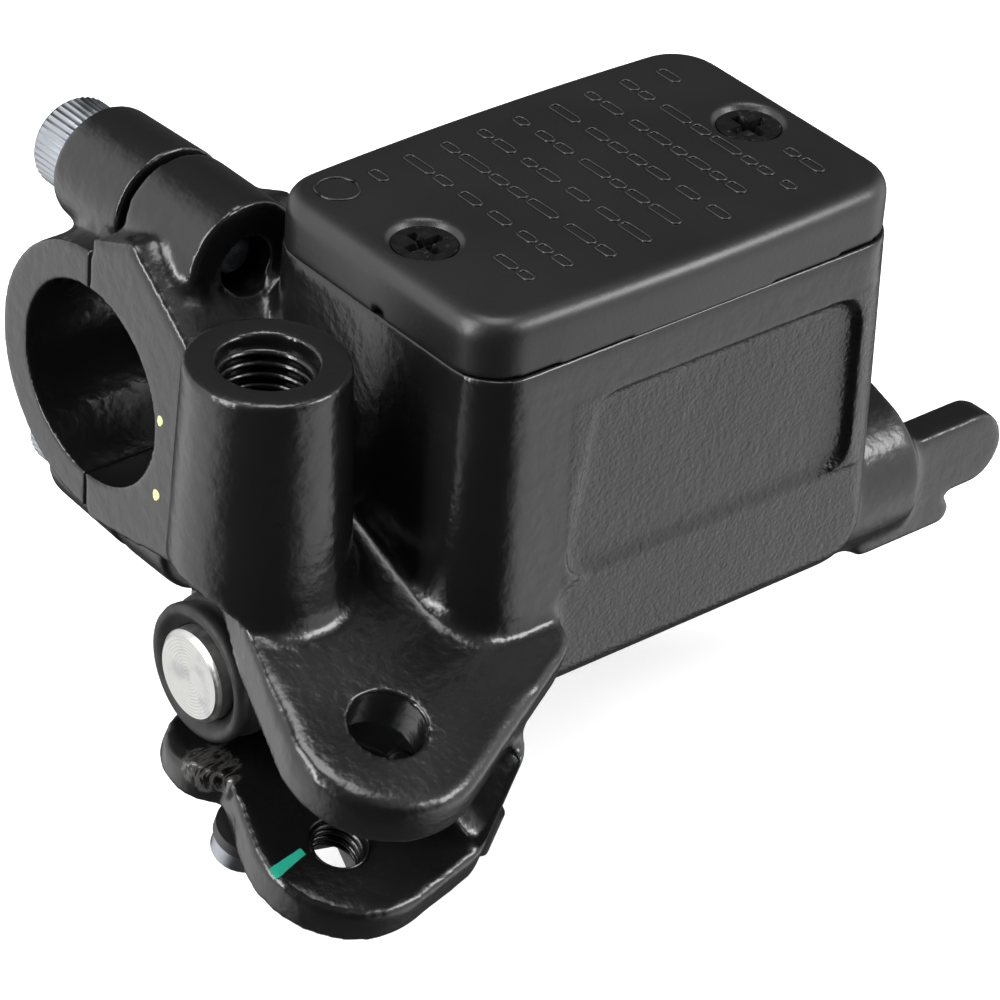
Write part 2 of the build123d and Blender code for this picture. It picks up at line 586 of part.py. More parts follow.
# ---- clamp cap ----
with BuildPart() as clamp_cap:
    with BuildSketch(along_x(-CLAMP_WIDTH / 2, 0, 0)):
        Circle(CLAMP_R)
        with Locations((CLAMP_R, 0)):
            Rectangle(2 * (CLAMP_R + CLAMP_GAP / 2), 3 * CLAMP_R, mode=Mode.SUBTRACT)
    extrude(amount=CLAMP_WIDTH)
    for z in BOLT_ZS:
        round_y(BOLT_BOSS_R, 0, z, -CLAMP_GAP / 2, -CAP_SEAT, taper=CAP_BOSS_DRAFT)
    round_x(BAR_R, -CLAMP_WIDTH, CLAMP_WIDTH, Mode.SUBTRACT, 0, 0)
    for z in BOLT_ZS:
        round_y(BOLT_R + BOLT_CLEARANCE, 0, z, -CAP_SEAT - 1, CLAMP_R, Mode.SUBTRACT)
save("clamp_cap", clamp_cap)

# ---- clamp bolts ----
with BuildPart() as clamp_bolts:
    for z in BOLT_ZS:
        head_y = -CAP_SEAT - SLOP
        round_y(BOLT_HEAD_R, 0, z, head_y - BOLT_HEAD_H, head_y)
        round_y(BOLT_R, 0, z, head_y, BOLT_TIP_Y)
        with BuildSketch(along_y(head_y - BOLT_HEAD_H, 0, z)):
            RegularPolygon(BOLT_SOCKET_AF / 2, 6, major_radius=False)
        extrude(amount=BOLT_SOCKET_DEPTH, mode=Mode.SUBTRACT)
save("clamp_bolts", clamp_bolts)

# ---- reservoir lid ----
with BuildPart() as reservoir_lid:
    with BuildSketch(Plane.XY.offset(LID_BOTTOM_Z)):
        with Locations((RES_X, RES_Y)):
            add(bowed_outline(LID_LENGTH, LID_WIDTH, LID_CORNER_R, LID_BOW))
    extrude(amount=LID_TOP_Z - LID_BOTTOM_Z)
    fillet(reservoir_lid.edges().group_by(Axis.Z)[-1], LID_EDGE_R)
    with BuildSketch(Plane.XY.offset(LID_BOTTOM_Z)):
        with Locations((RES_X, RES_Y)):
            RectangleRounded(
                LID_LENGTH - 2 * LID_SKIRT,
                LID_WIDTH - 2 * LID_SKIRT,
                LID_CORNER_R - LID_SKIRT,
            )
    extrude(amount=LID_ROOF_Z - LID_BOTTOM_Z, mode=Mode.SUBTRACT)
    # countersunk screw holes
    with Locations(*[(x, RES_Y, LID_TOP_Z) for x in SCREW_XS]):
        CounterSinkHole(
            SCREW_R + SCREW_CLEARANCE,
            SCREW_HEAD_R + SCREW_SUNK + SCREW_CLEARANCE,
            depth=2 * SCREW_LENGTH,
            counter_sink_angle=90,
        )
    # vent notch under the front outboard corner of the skirt
    with Locations((RES_X + LID_LENGTH / 2, RES_Y + VENT_Y, LID_BOTTOM_Z)):
        Box(LID_SKIRT, VENT_WIDTH, 2 * VENT_HEIGHT, mode=Mode.SUBTRACT)
save("reservoir_lid", reservoir_lid)

# ---- lid screws ----
with BuildPart() as lid_screws:
    for x in SCREW_XS:
        with BuildSketch(Plane(origin=(x, RES_Y, 0), x_dir=(1, 0, 0), z_dir=(0, -1, 0))):
            with BuildLine():
                Polyline(
                    (0, SCREW_TOP_Z - SCREW_LENGTH),
                    (SCREW_R, SCREW_TOP_Z - SCREW_LENGTH),
                    (SCREW_R, SCREW_TOP_Z - SCREW_HEAD_R + SCREW_R),
                    (SCREW_HEAD_R, SCREW_TOP_Z),
                    (0, SCREW_TOP_Z),
                    close=True,
                )
            make_face()
        revolve(axis=Axis((x, RES_Y, 0), (0, 0, 1)))
        with BuildSketch(Plane.XY.offset(SCREW_TOP_Z)):
            with Locations((x, RES_Y)):
                Rectangle(CROSS_LENGTH, CROSS_WIDTH)
                Rectangle(CROSS_WIDTH, CROSS_LENGTH)
        extrude(amount=-CROSS_DEPTH, taper=CROSS_DRAFT, mode=Mode.SUBTRACT)
save("lid_screws", lid_screws)

# ---- diaphragm: a flange with a folded cup hanging in the reservoir ----
with BuildPart() as diaphragm:
    with BuildSketch(Plane.XY.offset(FLANGE_Z)):
        with Locations((RES_X, RES_Y)):
            RectangleRounded(RIM_LENGTH, RIM_WIDTH, LID_CORNER_R - RIM_INSET)
    extrude(amount=FLANGE_THICKNESS)
    with BuildSketch(Plane.XY.offset(FLANGE_Z)):
        with Locations((RES_X, RES_Y)):
            RectangleRounded(BELLOWS_LENGTH, BELLOWS_WIDTH, CAVITY_CORNER_R)
    extrude(amount=-BELLOWS_DEPTH)
    with BuildSketch(Plane.XY.offset(PLATE_Z)):
        with Locations((RES_X, RES_Y)):
            RectangleRounded(
                BELLOWS_LENGTH - 2 * BELLOWS_WALL,
                BELLOWS_WIDTH - 2 * BELLOWS_WALL,
                CAVITY_CORNER_R - BELLOWS_WALL,
            )
    extrude(amount=-(FLANGE_THICKNESS + BELLOWS_DEPTH - BELLOWS_WALL), mode=Mode.SUBTRACT)
    screw_holes(PLATE_Z, FLANGE_THICKNESS)
save("diaphragm", diaphragm)

# ---- stiff plate between the diaphragm and the lid ----
with BuildPart() as diaphragm_plate:
    with BuildSketch(Plane.XY.offset(PLATE_Z + SLOP)):
        with Locations((RES_X, RES_Y)):
            RectangleRounded(RIM_LENGTH, RIM_WIDTH, LID_CORNER_R - RIM_INSET)
            RectangleRounded(
                BELLOWS_LENGTH - 2 * PLATE_LIP,
                BELLOWS_WIDTH - 2 * PLATE_LIP,
                CAVITY_CORNER_R,
                mode=Mode.SUBTRACT,
            )
    extrude(amount=PLATE_THICKNESS - 2 * SLOP)
    screw_holes(PLATE_Z + PLATE_THICKNESS, PLATE_THICKNESS)
save("diaphragm_plate", diaphragm_plate)

# ---- cover over the two ports in the reservoir floor ----
with BuildPart() as port_protector:
    with BuildSketch(Plane.XY.offset(RES_FLOOR_Z + SLOP)):
        with Locations(((SUPPLY_PORT_X + RELIEF_PORT_X) / 2, BARREL_Y)):
            RectangleRounded(PROTECTOR_LENGTH, PROTECTOR_WIDTH, PROTECTOR_WALL * 2)
    extrude(amount=PROTECTOR_HEIGHT)
    with BuildSketch(Plane.XY.offset(RES_FLOOR_Z)):
        with Locations(((SUPPLY_PORT_X + RELIEF_PORT_X) / 2, BARREL_Y)):
            Rectangle(PROTECTOR_LENGTH - 2 * PROTECTOR_WALL, 2 * PROTECTOR_WIDTH)
    extrude(amount=PROTECTOR_HEIGHT - PROTECTOR_WALL, mode=Mode.SUBTRACT)
save("port_protector", port_protector)

# ---- sight glass, its seal and its retaining ring ----
with BuildPart() as sight_glass:
    glass_y = GLASS_FACE_Y + RING_THICKNESS + SLOP
    round_y(GLASS_R, GLASS_X, GLASS_Z, glass_y, glass_y + GLASS_THICKNESS)
    fillet(sight_glass.edges().group_by(Axis.Y)[0], GLASS_EDGE_R)
save("sight_glass", sight_glass)

with BuildPart() as sight_glass_seal:
    seal_y = GLASS_LEDGE_Y - SEAL_WIRE_R - SLOP / 2
    with BuildSketch(Plane(origin=(GLASS_X, seal_y, GLASS_Z), x_dir=(1, 0, 0), z_dir=(0, 0, 1))):
        with Locations((GLASS_R - SEAL_WIRE_R, 0)):
            Circle(SEAL_WIRE_R)
    revolve(axis=Axis((GLASS_X, 0, GLASS_Z), (0, 1, 0)))
save("sight_glass_seal", sight_glass_seal)

with BuildPart() as sight_glass_ring:
    round_y(GLASS_R, GLASS_X, GLASS_Z, GLASS_FACE_Y, GLASS_FACE_Y + RING_THICKNESS)
    round_y(GLASS_R - RING_WIDTH, GLASS_X, GLASS_Z, GLASS_FACE_Y - 1, REAR_Y, Mode.SUBTRACT)
save("sight_glass_ring", sight_glass_ring)

# ---- piston ----
with BuildPart() as piston:
    # outline from the open end inwards, as (x, radius) down one side
    profile = (
        (PISTON_FACE_X, 0),
        (PISTON_FACE_X, STEM_R - PISTON_CHAMFER),
        (PISTON_FACE_X - PISTON_CHAMFER, STEM_R),
        (POCKET_FLOOR_X, STEM_R),
        (POCKET_FLOOR_X, LAND_R),
        (LAND_1_X, LAND_R),
        (LAND_1_X, PISTON_NECK_R),
        (LAND_2_X, PISTON_NECK_R),
        (LAND_2_X, LAND_R),
        (LAND_2_X - LAND_LENGTH / 2, LAND_R),
        (LAND_2_X - LAND_LENGTH / 2, PISTON_WAIST_R),
        (LAND_3_X + LAND_LENGTH, PISTON_WAIST_R),
        (LAND_3_X + LAND_LENGTH, LAND_R),
        (LAND_3_X, LAND_R),
        (LAND_3_X, PISTON_NOSE_R),
        (SPRING_SEAT_X, PISTON_NOSE_R),
        (SPRING_SEAT_X, 0),
    )
    with BuildSketch(HALF_SECTION):
        with BuildLine():
            Polyline(*profile, close=True)
        make_face()
    revolve(axis=BARREL_AXIS)
save("piston", piston)


def cup(x, inner_r):
    """Rubber cup whose lip opens inboard, with its heel at the outboard end."""
    outline = (
        (x + CUP_LENGTH, inner_r),
        (x + CUP_LENGTH, BORE_R - CUP_CLEARANCE - CUP_LIP / 2),
        (x, BORE_R - CUP_CLEARANCE),
        (x, BORE_R - CUP_CLEARANCE - CUP_LIP / 2),
        (x + CUP_LENGTH / 2, inner_r + CUP_LIP),
        (x + CUP_LENGTH / 2, inner_r),
    )
    with BuildSketch(HALF_SECTION) as section:
        with BuildLine():
            Polyline(*outline, close=True)
        make_face()
    revolve(section.sketch, axis=BARREL_AXIS)


with BuildPart() as primary_cup:
    cup(CUP_X, PISTON_NOSE_R + SLOP)
save("primary_cup", primary_cup)

with BuildPart() as secondary_cup:
    cup(LAND_2_X + SLOP, PISTON_NECK_R + SLOP)
save("secondary_cup", secondary_cup)

# ---- spring seat and return spring ----
with BuildPart() as spring_seat:
    round_x(SPRING_SEAT_R, SPRING_SEAT_X, SPRING_SEAT_X + SPRING_SEAT_THICKNESS)
    round_x(PISTON_NOSE_R + SLOP, SPRING_SEAT_X - 1, CUP_X, Mode.SUBTRACT)
save("spring_seat", spring_seat)

with BuildPart() as return_spring:
    spring_length = SPRING_SEAT_X - BARREL_END_X - 2 * SLOP - 2 * SPRING_WIRE_R
    spring_start = (BARREL_END_X + SLOP + SPRING_WIRE_R, BARREL_Y, BARREL_Z)
    with BuildLine():
        Helix(
            spring_length / SPRING_TURNS,
            spring_length,
            SPRING_MEAN_R,
            center=spring_start,
            direction=(1, 0, 0),
        )
    spring_line = return_spring.pending_edges[0]
    with BuildSketch(Plane(origin=spring_line @ 0, z_dir=spring_line % 0)):
        Circle(SPRING_WIRE_R)
    sweep(is_frenet=True)
save("return_spring", return_spring)

# ---- stop washer and circlip ----
with BuildPart() as piston_washer:
    round_x(POCKET_R - SLOP, WASHER_X, WASHER_X + WASHER_THICKNESS)
    round_x(STEM_R + WASHER_CLEARANCE, WASHER_X - 1, CIRCLIP_X, Mode.SUBTRACT)
save("piston_washer", piston_washer)

with BuildPart() as circlip:
    with BuildSketch(along_x(CIRCLIP_X)):
        Circle(GROOVE_R - SLOP)
        Circle(GROOVE_R - CIRCLIP_WIDTH, mode=Mode.SUBTRACT)
        with Locations((-GROOVE_R, 0)):
            Rectangle(4 * CIRCLIP_WIDTH, CIRCLIP_OPENING, mode=Mode.SUBTRACT)
    extrude(amount=CIRCLIP_THICKNESS)
save("circlip", circlip)

# ---- dust boot: grips the pocket at its root and the piston at its lip ----
with BuildPart() as dust_boot:
    root_r = POCKET_R - BOOT_CLEARANCE
    seal_r = STEM_R + BOOT_CLEARANCE
    lip_end_x = BOOT_LIP_X - BOOT_WALL
    outline = (
        (BOOT_X, root_r - 2 * BOOT_WALL),
        (BOOT_X, root_r),
        (BOOT_X + BOOT_ROOT, root_r),
        (BOOT_X + 2 * BOOT_ROOT, BOOT_LIP_R),
        (BOOT_LIP_X, BOOT_LIP_R),
        (BOOT_LIP_X, BOOT_LIP_R - BOOT_WALL),
        (lip_end_x, BOOT_LIP_R - BOOT_WALL),
        (lip_end_x, seal_r + BOOT_WALL / 2),
        (BOOT_LIP_X, seal_r + BOOT_WALL / 2),
        (BOOT_LIP_X, seal_r),
        (lip_end_x - BOOT_WALL, seal_r),
        (lip_end_x - BOOT_WALL, BOOT_LIP_R - BOOT_WALL),
        (BOOT_X + 2 * BOOT_ROOT, BOOT_LIP_R - BOOT_WALL),
    )
    with BuildSketch(HALF_SECTION):
        with BuildLine():
            Polyline(*outline, close=True)
        make_face()
    revolve(axis=BARREL_AXIS)
save("dust_boot", dust_boot)

# ---- brake light switch under the lower ear ----
with BuildPart() as switch_case:
    with BuildSketch(SWITCH_PLANE):
        with Locations((SWITCH_LUG_LENGTH / 2, 0)):
            SlotCenterToCenter(SWITCH_LUG_LENGTH, 2 * SWITCH_LUG_R)
    extrude(amount=-SWITCH_LUG_THICKNESS)
    with BuildSketch(SWITCH_PLANE):
        with Locations(SWITCH_MIDDLE):
            RectangleRounded(SWITCH_LENGTH, SWITCH_WIDTH, SWITCH_CORNER_R)
    extrude(amount=-SWITCH_HEIGHT)
    # room for the contacts
    with BuildSketch(SWITCH_PLANE.offset(-SWITCH_WALL)):
        with Locations(PLUNGER_AT):
            Rectangle(CHAMBER_LENGTH, SWITCH_WIDTH - 2 * SWITCH_WALL)
    extrude(amount=-(SWITCH_HEIGHT - 2 * SWITCH_WALL), mode=Mode.SUBTRACT)
    # plunger and screw holes
    with BuildSketch(SWITCH_PLANE):
        with Locations(PLUNGER_AT):
            Circle(PLUNGER_HOLE_R)
    extrude(amount=-2 * SWITCH_WALL, mode=Mode.SUBTRACT)
    with BuildSketch(SWITCH_PLANE):
        Circle(SWITCH_SCREW_R + SCREW_CLEARANCE)
    extrude(amount=-2 * SWITCH_LUG_THICKNESS, mode=Mode.SUBTRACT)
    # blade slots in the underside
    with BuildSketch(BLADE_PLANE):
        with Locations(*BLADE_PLACES):
            Rectangle(BLADE_WIDTH + 2 * SLOP, BLADE_THICKNESS + 2 * SLOP)
    extrude(amount=-BLADE_LENGTH - SLOP, mode=Mode.SUBTRACT)
save("switch_case", switch_case)

with BuildPart() as switch_plunger:
    with BuildSketch(SWITCH_PLANE.offset(PLUNGER_FOOT)):
        with Locations(PLUNGER_AT):
            Circle(PLUNGER_R)
    extrude(amount=PLUNGER_TOP - PLUNGER_FOOT)
    fillet(switch_plunger.edges().sort_by(SWITCH_AXIS)[-1], PLUNGER_R / 2)
    with BuildSketch(SWITCH_PLANE.offset(PLUNGER_FOOT)):
        with Locations(PLUNGER_AT):
            Circle(PLUNGER_FOOT_R)
    extrude(amount=PLUNGER_FOOT_THICKNESS)
save("switch_plunger", switch_plunger)

with BuildPart() as switch_contact:
    with BuildSketch(SWITCH_PLANE.offset(PLUNGER_FOOT - SLOP)):
        with Locations(PLUNGER_AT):
            RectangleRounded(CONTACT_LENGTH, CONTACT_WIDTH, CONTACT_WIDTH / 3)
    extrude(amount=-CONTACT_THICKNESS)
save("switch_contact", switch_contact)

with BuildPart() as switch_spring:
    with BuildLine():
        Helix(
            CONTACT_SPRING_LENGTH / CONTACT_SPRING_TURNS,
            CONTACT_SPRING_LENGTH,
            CONTACT_SPRING_R,
            center=tuple(SWITCH_PLANE.from_local_coords((*PLUNGER_AT, CONTACT_SPRING_FROM))),
            direction=tuple(SWITCH_PLANE.z_dir),
        )
    contact_line = switch_spring.pending_edges[0]
    with BuildSketch(Plane(origin=contact_line @ 0, z_dir=contact_line % 0)):
        Circle(CONTACT_SPRING_WIRE_R)
    sweep(is_frenet=True)
save("switch_spring", switch_spring)

with BuildPart() as switch_terminals:
    with BuildSketch(BLADE_PLANE.offset(-BLADE_LENGTH)):
        with Locations(*BLADE_PLACES):
            Rectangle(BLADE_WIDTH, BLADE_THICKNESS)
    extrude(amount=BLADE_LENGTH + BLADE_PROUD)
save("switch_terminals", switch_terminals)

with BuildPart() as switch_screw:
    with BuildSketch(SWITCH_PLANE.offset(-SWITCH_LUG_THICKNESS - SLOP)):
        Circle(SWITCH_SCREW_HEAD_R)
    extrude(amount=-SWITCH_SCREW_HEAD_H)
    with BuildSketch(SWITCH_PLANE.offset(-SWITCH_LUG_THICKNESS - SLOP)):
        Circle(SWITCH_SCREW_R)
    extrude(amount=SWITCH_LUG_THICKNESS + SWITCH_SCREW_GRIP - SLOP)
    with BuildSketch(SWITCH_PLANE.offset(-SWITCH_LUG_THICKNESS - SLOP - SWITCH_SCREW_HEAD_H)):
        Rectangle(CROSS_LENGTH, CROSS_WIDTH)
        Rectangle(CROSS_WIDTH, CROSS_LENGTH)
    extrude(amount=CROSS_DEPTH / 2, mode=Mode.SUBTRACT)
save("switch_screw", switch_screw)
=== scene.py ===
import json
import random
from math import cos, hypot, pi, radians, sin

import bmesh
import bpy
import numpy as np
from mathutils import Matrix, Vector


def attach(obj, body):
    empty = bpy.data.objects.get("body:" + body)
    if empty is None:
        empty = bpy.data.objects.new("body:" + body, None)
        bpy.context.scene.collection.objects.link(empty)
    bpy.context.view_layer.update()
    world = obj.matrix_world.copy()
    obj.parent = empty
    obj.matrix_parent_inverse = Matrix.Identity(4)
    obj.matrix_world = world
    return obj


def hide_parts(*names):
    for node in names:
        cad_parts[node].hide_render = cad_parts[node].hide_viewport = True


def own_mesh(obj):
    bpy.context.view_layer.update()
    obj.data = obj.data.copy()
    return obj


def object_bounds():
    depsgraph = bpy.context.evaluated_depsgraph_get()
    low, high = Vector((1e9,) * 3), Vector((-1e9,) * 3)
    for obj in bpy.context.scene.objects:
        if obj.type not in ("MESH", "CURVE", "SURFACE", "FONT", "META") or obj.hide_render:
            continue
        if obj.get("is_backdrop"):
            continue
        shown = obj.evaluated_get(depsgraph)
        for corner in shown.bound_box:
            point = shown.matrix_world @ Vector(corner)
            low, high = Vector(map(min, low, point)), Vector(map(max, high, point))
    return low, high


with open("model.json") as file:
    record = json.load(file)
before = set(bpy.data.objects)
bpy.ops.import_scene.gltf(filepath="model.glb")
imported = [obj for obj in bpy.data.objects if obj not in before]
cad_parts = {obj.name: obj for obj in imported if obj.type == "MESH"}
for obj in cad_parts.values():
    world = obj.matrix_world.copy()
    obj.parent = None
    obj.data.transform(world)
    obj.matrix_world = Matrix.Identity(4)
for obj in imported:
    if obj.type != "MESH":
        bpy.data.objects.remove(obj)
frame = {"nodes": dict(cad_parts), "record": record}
cad_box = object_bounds()

MM = 0.001
random.seed(7)

# ---- places on the part, in millimetres in the row frame ----
BAR_R = 11.1
CLAMP_HALF = 10.0       # half the clamp's width, along the bar
BOLT_OFFSET = 17.0      # clamp bolts above and below the bar's axis
BOLT_HOLE_R = 3.2
BARREL_Y, BARREL_Z = 31.2, -14.1
BARREL_FACE_X = 18.2
PORT_FACE_X = -65.0
PORT_R = 5.0
LEVER_TILT = radians(19)
LEVER_AXIS = Vector((0, sin(LEVER_TILT), cos(LEVER_TILT)))
LEVER_REACH = Vector((0, cos(LEVER_TILT), -sin(LEVER_TILT)))
PIVOT_X, PIVOT_REACH = 13.3, 19.7
PIVOT_R, PIVOT_THREAD_R = 4.0, 3.0
SLOT_HALF = 7.0
MIRROR = (13.1, 32.8, 21.0)
MIRROR_THREAD_R = 5.0
LID = (-27.2, 32.0, 27.7)
SCREW_SPACING = 42.0
GLASS = (-31.0, 6.5)


def lever_point(x, reach, height):
    """A point given in the lever's own plane, in the row frame."""
    return Vector((x, BARREL_Y, BARREL_Z)) + LEVER_REACH * reach + LEVER_AXIS * height


# ---- materials ----
def material(name, color, roughness, metallic=0.0, specular=0.5):
    """A node material; returns it with its tree, its shader and its object coordinates."""
    mat = bpy.data.materials.new(name)
    mat.use_nodes = True
    tree = mat.node_tree
    shader = tree.nodes["Principled BSDF"]
    shader.inputs["Base Color"].default_value = (*color, 1)
    shader.inputs["Roughness"].default_value = roughness
    shader.inputs["Metallic"].default_value = metallic
    shader.inputs["Specular IOR Level"].default_value = specular
    place = tree.nodes.new("ShaderNodeTexCoord").outputs["Object"]
    return mat, tree, shader, place


def noise(tree, place, scale, detail, stretch=None):
    """A noise value from 0 to 1, with the coordinates scaled along each axis by stretch."""
    if stretch:
        mapping = tree.nodes.new("ShaderNodeMapping")
        mapping.inputs["Scale"].default_value = stretch
        tree.links.new(place, mapping.inputs["Vector"])
        place = mapping.outputs["Vector"]
    node = tree.nodes.new("ShaderNodeTexNoise")
    node.inputs["Scale"].default_value = scale
    node.inputs["Detail"].default_value = detail
    tree.links.new(place, node.inputs["Vector"])
    return node.outputs["Fac"]


def remap(tree, value, low, high, to_low=0.0, to_high=1.0):
    """Eases value's range from low to high into the range from to_low to to_high."""
    node = tree.nodes.new("ShaderNodeMapRange")
    node.interpolation_type = "SMOOTHSTEP"
    for socket, number in zip(("From Min", "From Max", "To Min", "To Max"), (low, high, to_low, to_high)):
        node.inputs[socket].default_value = number
    tree.links.new(value, node.inputs["Value"])
    return node.outputs["Result"]


def math_node(tree, operation, *values):
    node = tree.nodes.new("ShaderNodeMath")
    node.operation = operation
    for socket, value in zip(node.inputs, values):
        if isinstance(value, (int, float)):
            socket.default_value = value
        else:
            tree.links.new(value, socket)
    return node.outputs[0]


def mixed_color(tree, factor, first, second):
    node = tree.nodes.new("ShaderNodeMix")
    node.data_type = "RGBA"
    tree.links.new(factor, node.inputs[0])
    for socket, value in ((node.inputs[6], first), (node.inputs[7], second)):
        if isinstance(value, tuple):
            socket.default_value = (*value, 1)
        else:
            tree.links.new(value, socket)
    return node.outputs[2]


def bump(tree, shader, height, distance):
    """Adds a bump to the shader, over any that it already has; distance is in metres."""
    node = tree.nodes.new("ShaderNodeBump")
    node.inputs["Distance"].default_value = distance
    node.inputs["Strength"].default_value = 1.0
    tree.links.new(height, node.inputs["Height"])
    link = next((item for item in tree.links if item.to_socket == shader.inputs["Normal"]), None)
    if link:
        tree.links.new(link.from_socket, node.inputs["Normal"])
    tree.links.new(node.outputs["Normal"], shader.inputs["Normal"])


def box_mask(tree, place, axis, low, high, soft):
    """1 where the coordinate along one axis is between low and high, in metres."""
    split = tree.nodes.new("ShaderNodeSeparateXYZ")
    tree.links.new(place, split.inputs[0])
    value = split.outputs[axis]
    above = remap(tree, value, low - soft, low + soft)
    below = remap(tree, value, high - soft, high + soft, 1.0, 0.0)
    return math_node(tree, "MULTIPLY", above, below)


def ball_mask(tree, place, centre, inner, outer, ragged):
    """1 inside inner, 0 outside outer; a noise makes its edge ragged. All in metres."""
    node = tree.nodes.new("ShaderNodeVectorMath")
    node.operation = "DISTANCE"
    node.inputs[1].default_value = centre
    tree.links.new(place, node.inputs[0])
    wobble = math_node(tree, "MULTIPLY_ADD", noise(tree, place, 900, 4), ragged, -ragged / 2)
    distance = math_node(tree, "ADD", node.outputs["Value"], wobble)
    return remap(tree, distance, inner, outer, 1.0, 0.0)


def casting_paint():
    """Glossy black with a slight orange peel, grainy on the reservoir's front wall."""
    black = (0.0045, 0.0045, 0.0048)
    mat, tree, shader, place = material("casting_paint", black, 0.24, specular=0.5)
    peel = noise(tree, place, 620, 2)
    grain = noise(tree, place, 2100, 3)
    front = box_mask(tree, place, "Y", 0.0425, 0.08, 0.0006)
    inboard = box_mask(tree, place, "X", -0.0545, -0.011, 0.0008)
    low = box_mask(tree, place, "Z", -0.03, 0.0165, 0.0006)
    rough_area = math_node(tree, "MULTIPLY", math_node(tree, "MULTIPLY", front, inboard), low)
    bump(tree, shader, peel, 0.0001)
    grain_share = remap(tree, rough_area, 0, 1, 0.08, 0.8)
    bump(tree, shader, math_node(tree, "MULTIPLY", grain, grain_share), 0.00016)
    cloud = noise(tree, place, 90, 3)
    tree.links.new(remap(tree, cloud, 0.3, 0.7, 0.2, 0.28), shader.inputs["Roughness"])
    # worn metal on the lower ear's lobe, partly real wear and partly a painted sheen: the grey patch stands
    # in for a reflection of a light
    wear_and_sheen_at = lever_point(19.6, 6.4, -SLOT_HALF) * MM
    wear_and_sheen = ball_mask(tree, place, wear_and_sheen_at, 0.0022, 0.0032, 0.0026)
    scratch = noise(tree, place, 400, 4, (1, 6, 1))
    wear_and_sheen = math_node(tree, "MULTIPLY", wear_and_sheen, remap(tree, scratch, 0.35, 0.6))
    # grey mixed in here is partly wear and partly painted sheen (a painted reflection)
    color = mixed_color(tree, wear_and_sheen, black, (0.16, 0.155, 0.15))
    tree.links.new(color, shader.inputs["Base Color"])
    tree.links.new(wear_and_sheen, shader.inputs["Metallic"])
    return mat


def lid_paint():
    mat, tree, shader, place = material("lid_plastic", (0.005, 0.005, 0.0053), 0.36, specular=0.5)
    bump(tree, shader, noise(tree, place, 1800, 3), 0.00002)
    cloud = noise(tree, place, 60, 3)
    tree.links.new(remap(tree, cloud, 0.3, 0.7, 0.34, 0.42), shader.inputs["Roughness"])
    return mat


def zinc_steel():
    mat, tree, shader, place = material("zinc_steel", (0.78, 0.80, 0.82), 0.27, metallic=1.0)
    cloud = noise(tree, place, 500, 4)
    tree.links.new(remap(tree, cloud, 0.3, 0.7, 0.2, 0.38), shader.inputs["Roughness"])
    tone = mixed_color(tree, noise(tree, place, 160, 3), (0.26, 0.28, 0.31), (0.38, 0.40, 0.42))
    tree.links.new(tone, shader.inputs["Base Color"])
    bump(tree, shader, noise(tree, place, 2500, 2), 0.00001)
    return mat


def black_steel():
    mat, tree, shader, place = material("black_steel", (0.03, 0.03, 0.031), 0.3, metallic=0.85)
    worn = remap(tree, noise(tree, place, 1300, 4), 0.55, 0.75)
    tone = mixed_color(tree, worn, (0.022, 0.022, 0.023), (0.12, 0.12, 0.12))
    tree.links.new(tone, shader.inputs["Base Color"])
    gloss = remap(tree, noise(tree, place, 700, 3), 0.3, 0.7, 0.22, 0.42)
    tree.links.new(gloss, shader.inputs["Roughness"])
    bump(tree, shader, noise(tree, place, 1600, 3), 0.00003)
    return mat


def piston_metal():
    """Turned aluminium: faint rings round the barrel's axis and a stained, matt face."""
    mat, tree, shader, place = material("machined_aluminium", (0.33, 0.33, 0.325), 0.42, metallic=1.0)
    mapping = tree.nodes.new("ShaderNodeMapping")
    mapping.inputs["Location"].default_value = (0, -BARREL_Y * MM, -BARREL_Z * MM)
    tree.links.new(place, mapping.inputs["Vector"])
    rings = tree.nodes.new("ShaderNodeTexWave")
    rings.wave_type = "RINGS"
    rings.rings_direction = "X"
    rings.inputs["Scale"].default_value = 900
    rings.inputs["Distortion"].default_value = 1.2
    tree.links.new(mapping.outputs["Vector"], rings.inputs["Vector"])
    bump(tree, shader, rings.outputs["Fac"], 0.000012)
    bump(tree, shader, noise(tree, place, 1900, 4), 0.00002)
    stain = remap(tree, noise(tree, place, 330, 4), 0.45, 0.7)
    tone = mixed_color(tree, stain, (0.50, 0.50, 0.485), (0.36, 0.365, 0.37))
    tree.links.new(tone, shader.inputs["Base Color"])
    tree.links.new(remap(tree, noise(tree, place, 800, 3), 0.3, 0.7, 0.36, 0.5), shader.inputs["Roughness"])
    return mat


def rubber():
    mat, tree, shader, place = material("rubber", (0.009, 0.009, 0.0095), 0.5, specular=0.35)
    bump(tree, shader, noise(tree, place, 2400, 3), 0.00002)
    dust = remap(tree, noise(tree, place, 260, 4), 0.5, 0.8)
    tone = mixed_color(tree, dust, (0.008, 0.008, 0.0085), (0.02, 0.02, 0.021))
    tree.links.new(tone, shader.inputs["Base Color"])
    gloss = remap(tree, noise(tree, place, 500, 3), 0.3, 0.7, 0.42, 0.62)
    tree.links.new(gloss, shader.inputs["Roughness"])
    return mat


def spring_steel():
    mat, tree, shader, place = material("spring_steel", (0.55, 0.56, 0.57), 0.3, metallic=1.0)
    tone = mixed_color(tree, noise(tree, place, 400, 4), (0.45, 0.46, 0.47), (0.66, 0.66, 0.66))
    tree.links.new(tone, shader.inputs["Base Color"])
    bump(tree, shader, noise(tree, place, 2000, 2), 0.000008)
    return mat


def pale_plastic():
    mat, tree, shader, place = material("white_plastic", (0.78, 0.78, 0.74), 0.45)
    tone = mixed_color(tree, noise(tree, place, 120, 3), (0.74, 0.74, 0.70), (0.82, 0.82, 0.79))
    tree.links.new(tone, shader.inputs["Base Color"])
    bump(tree, shader, noise(tree, place, 1500, 2), 0.00001)
    return mat


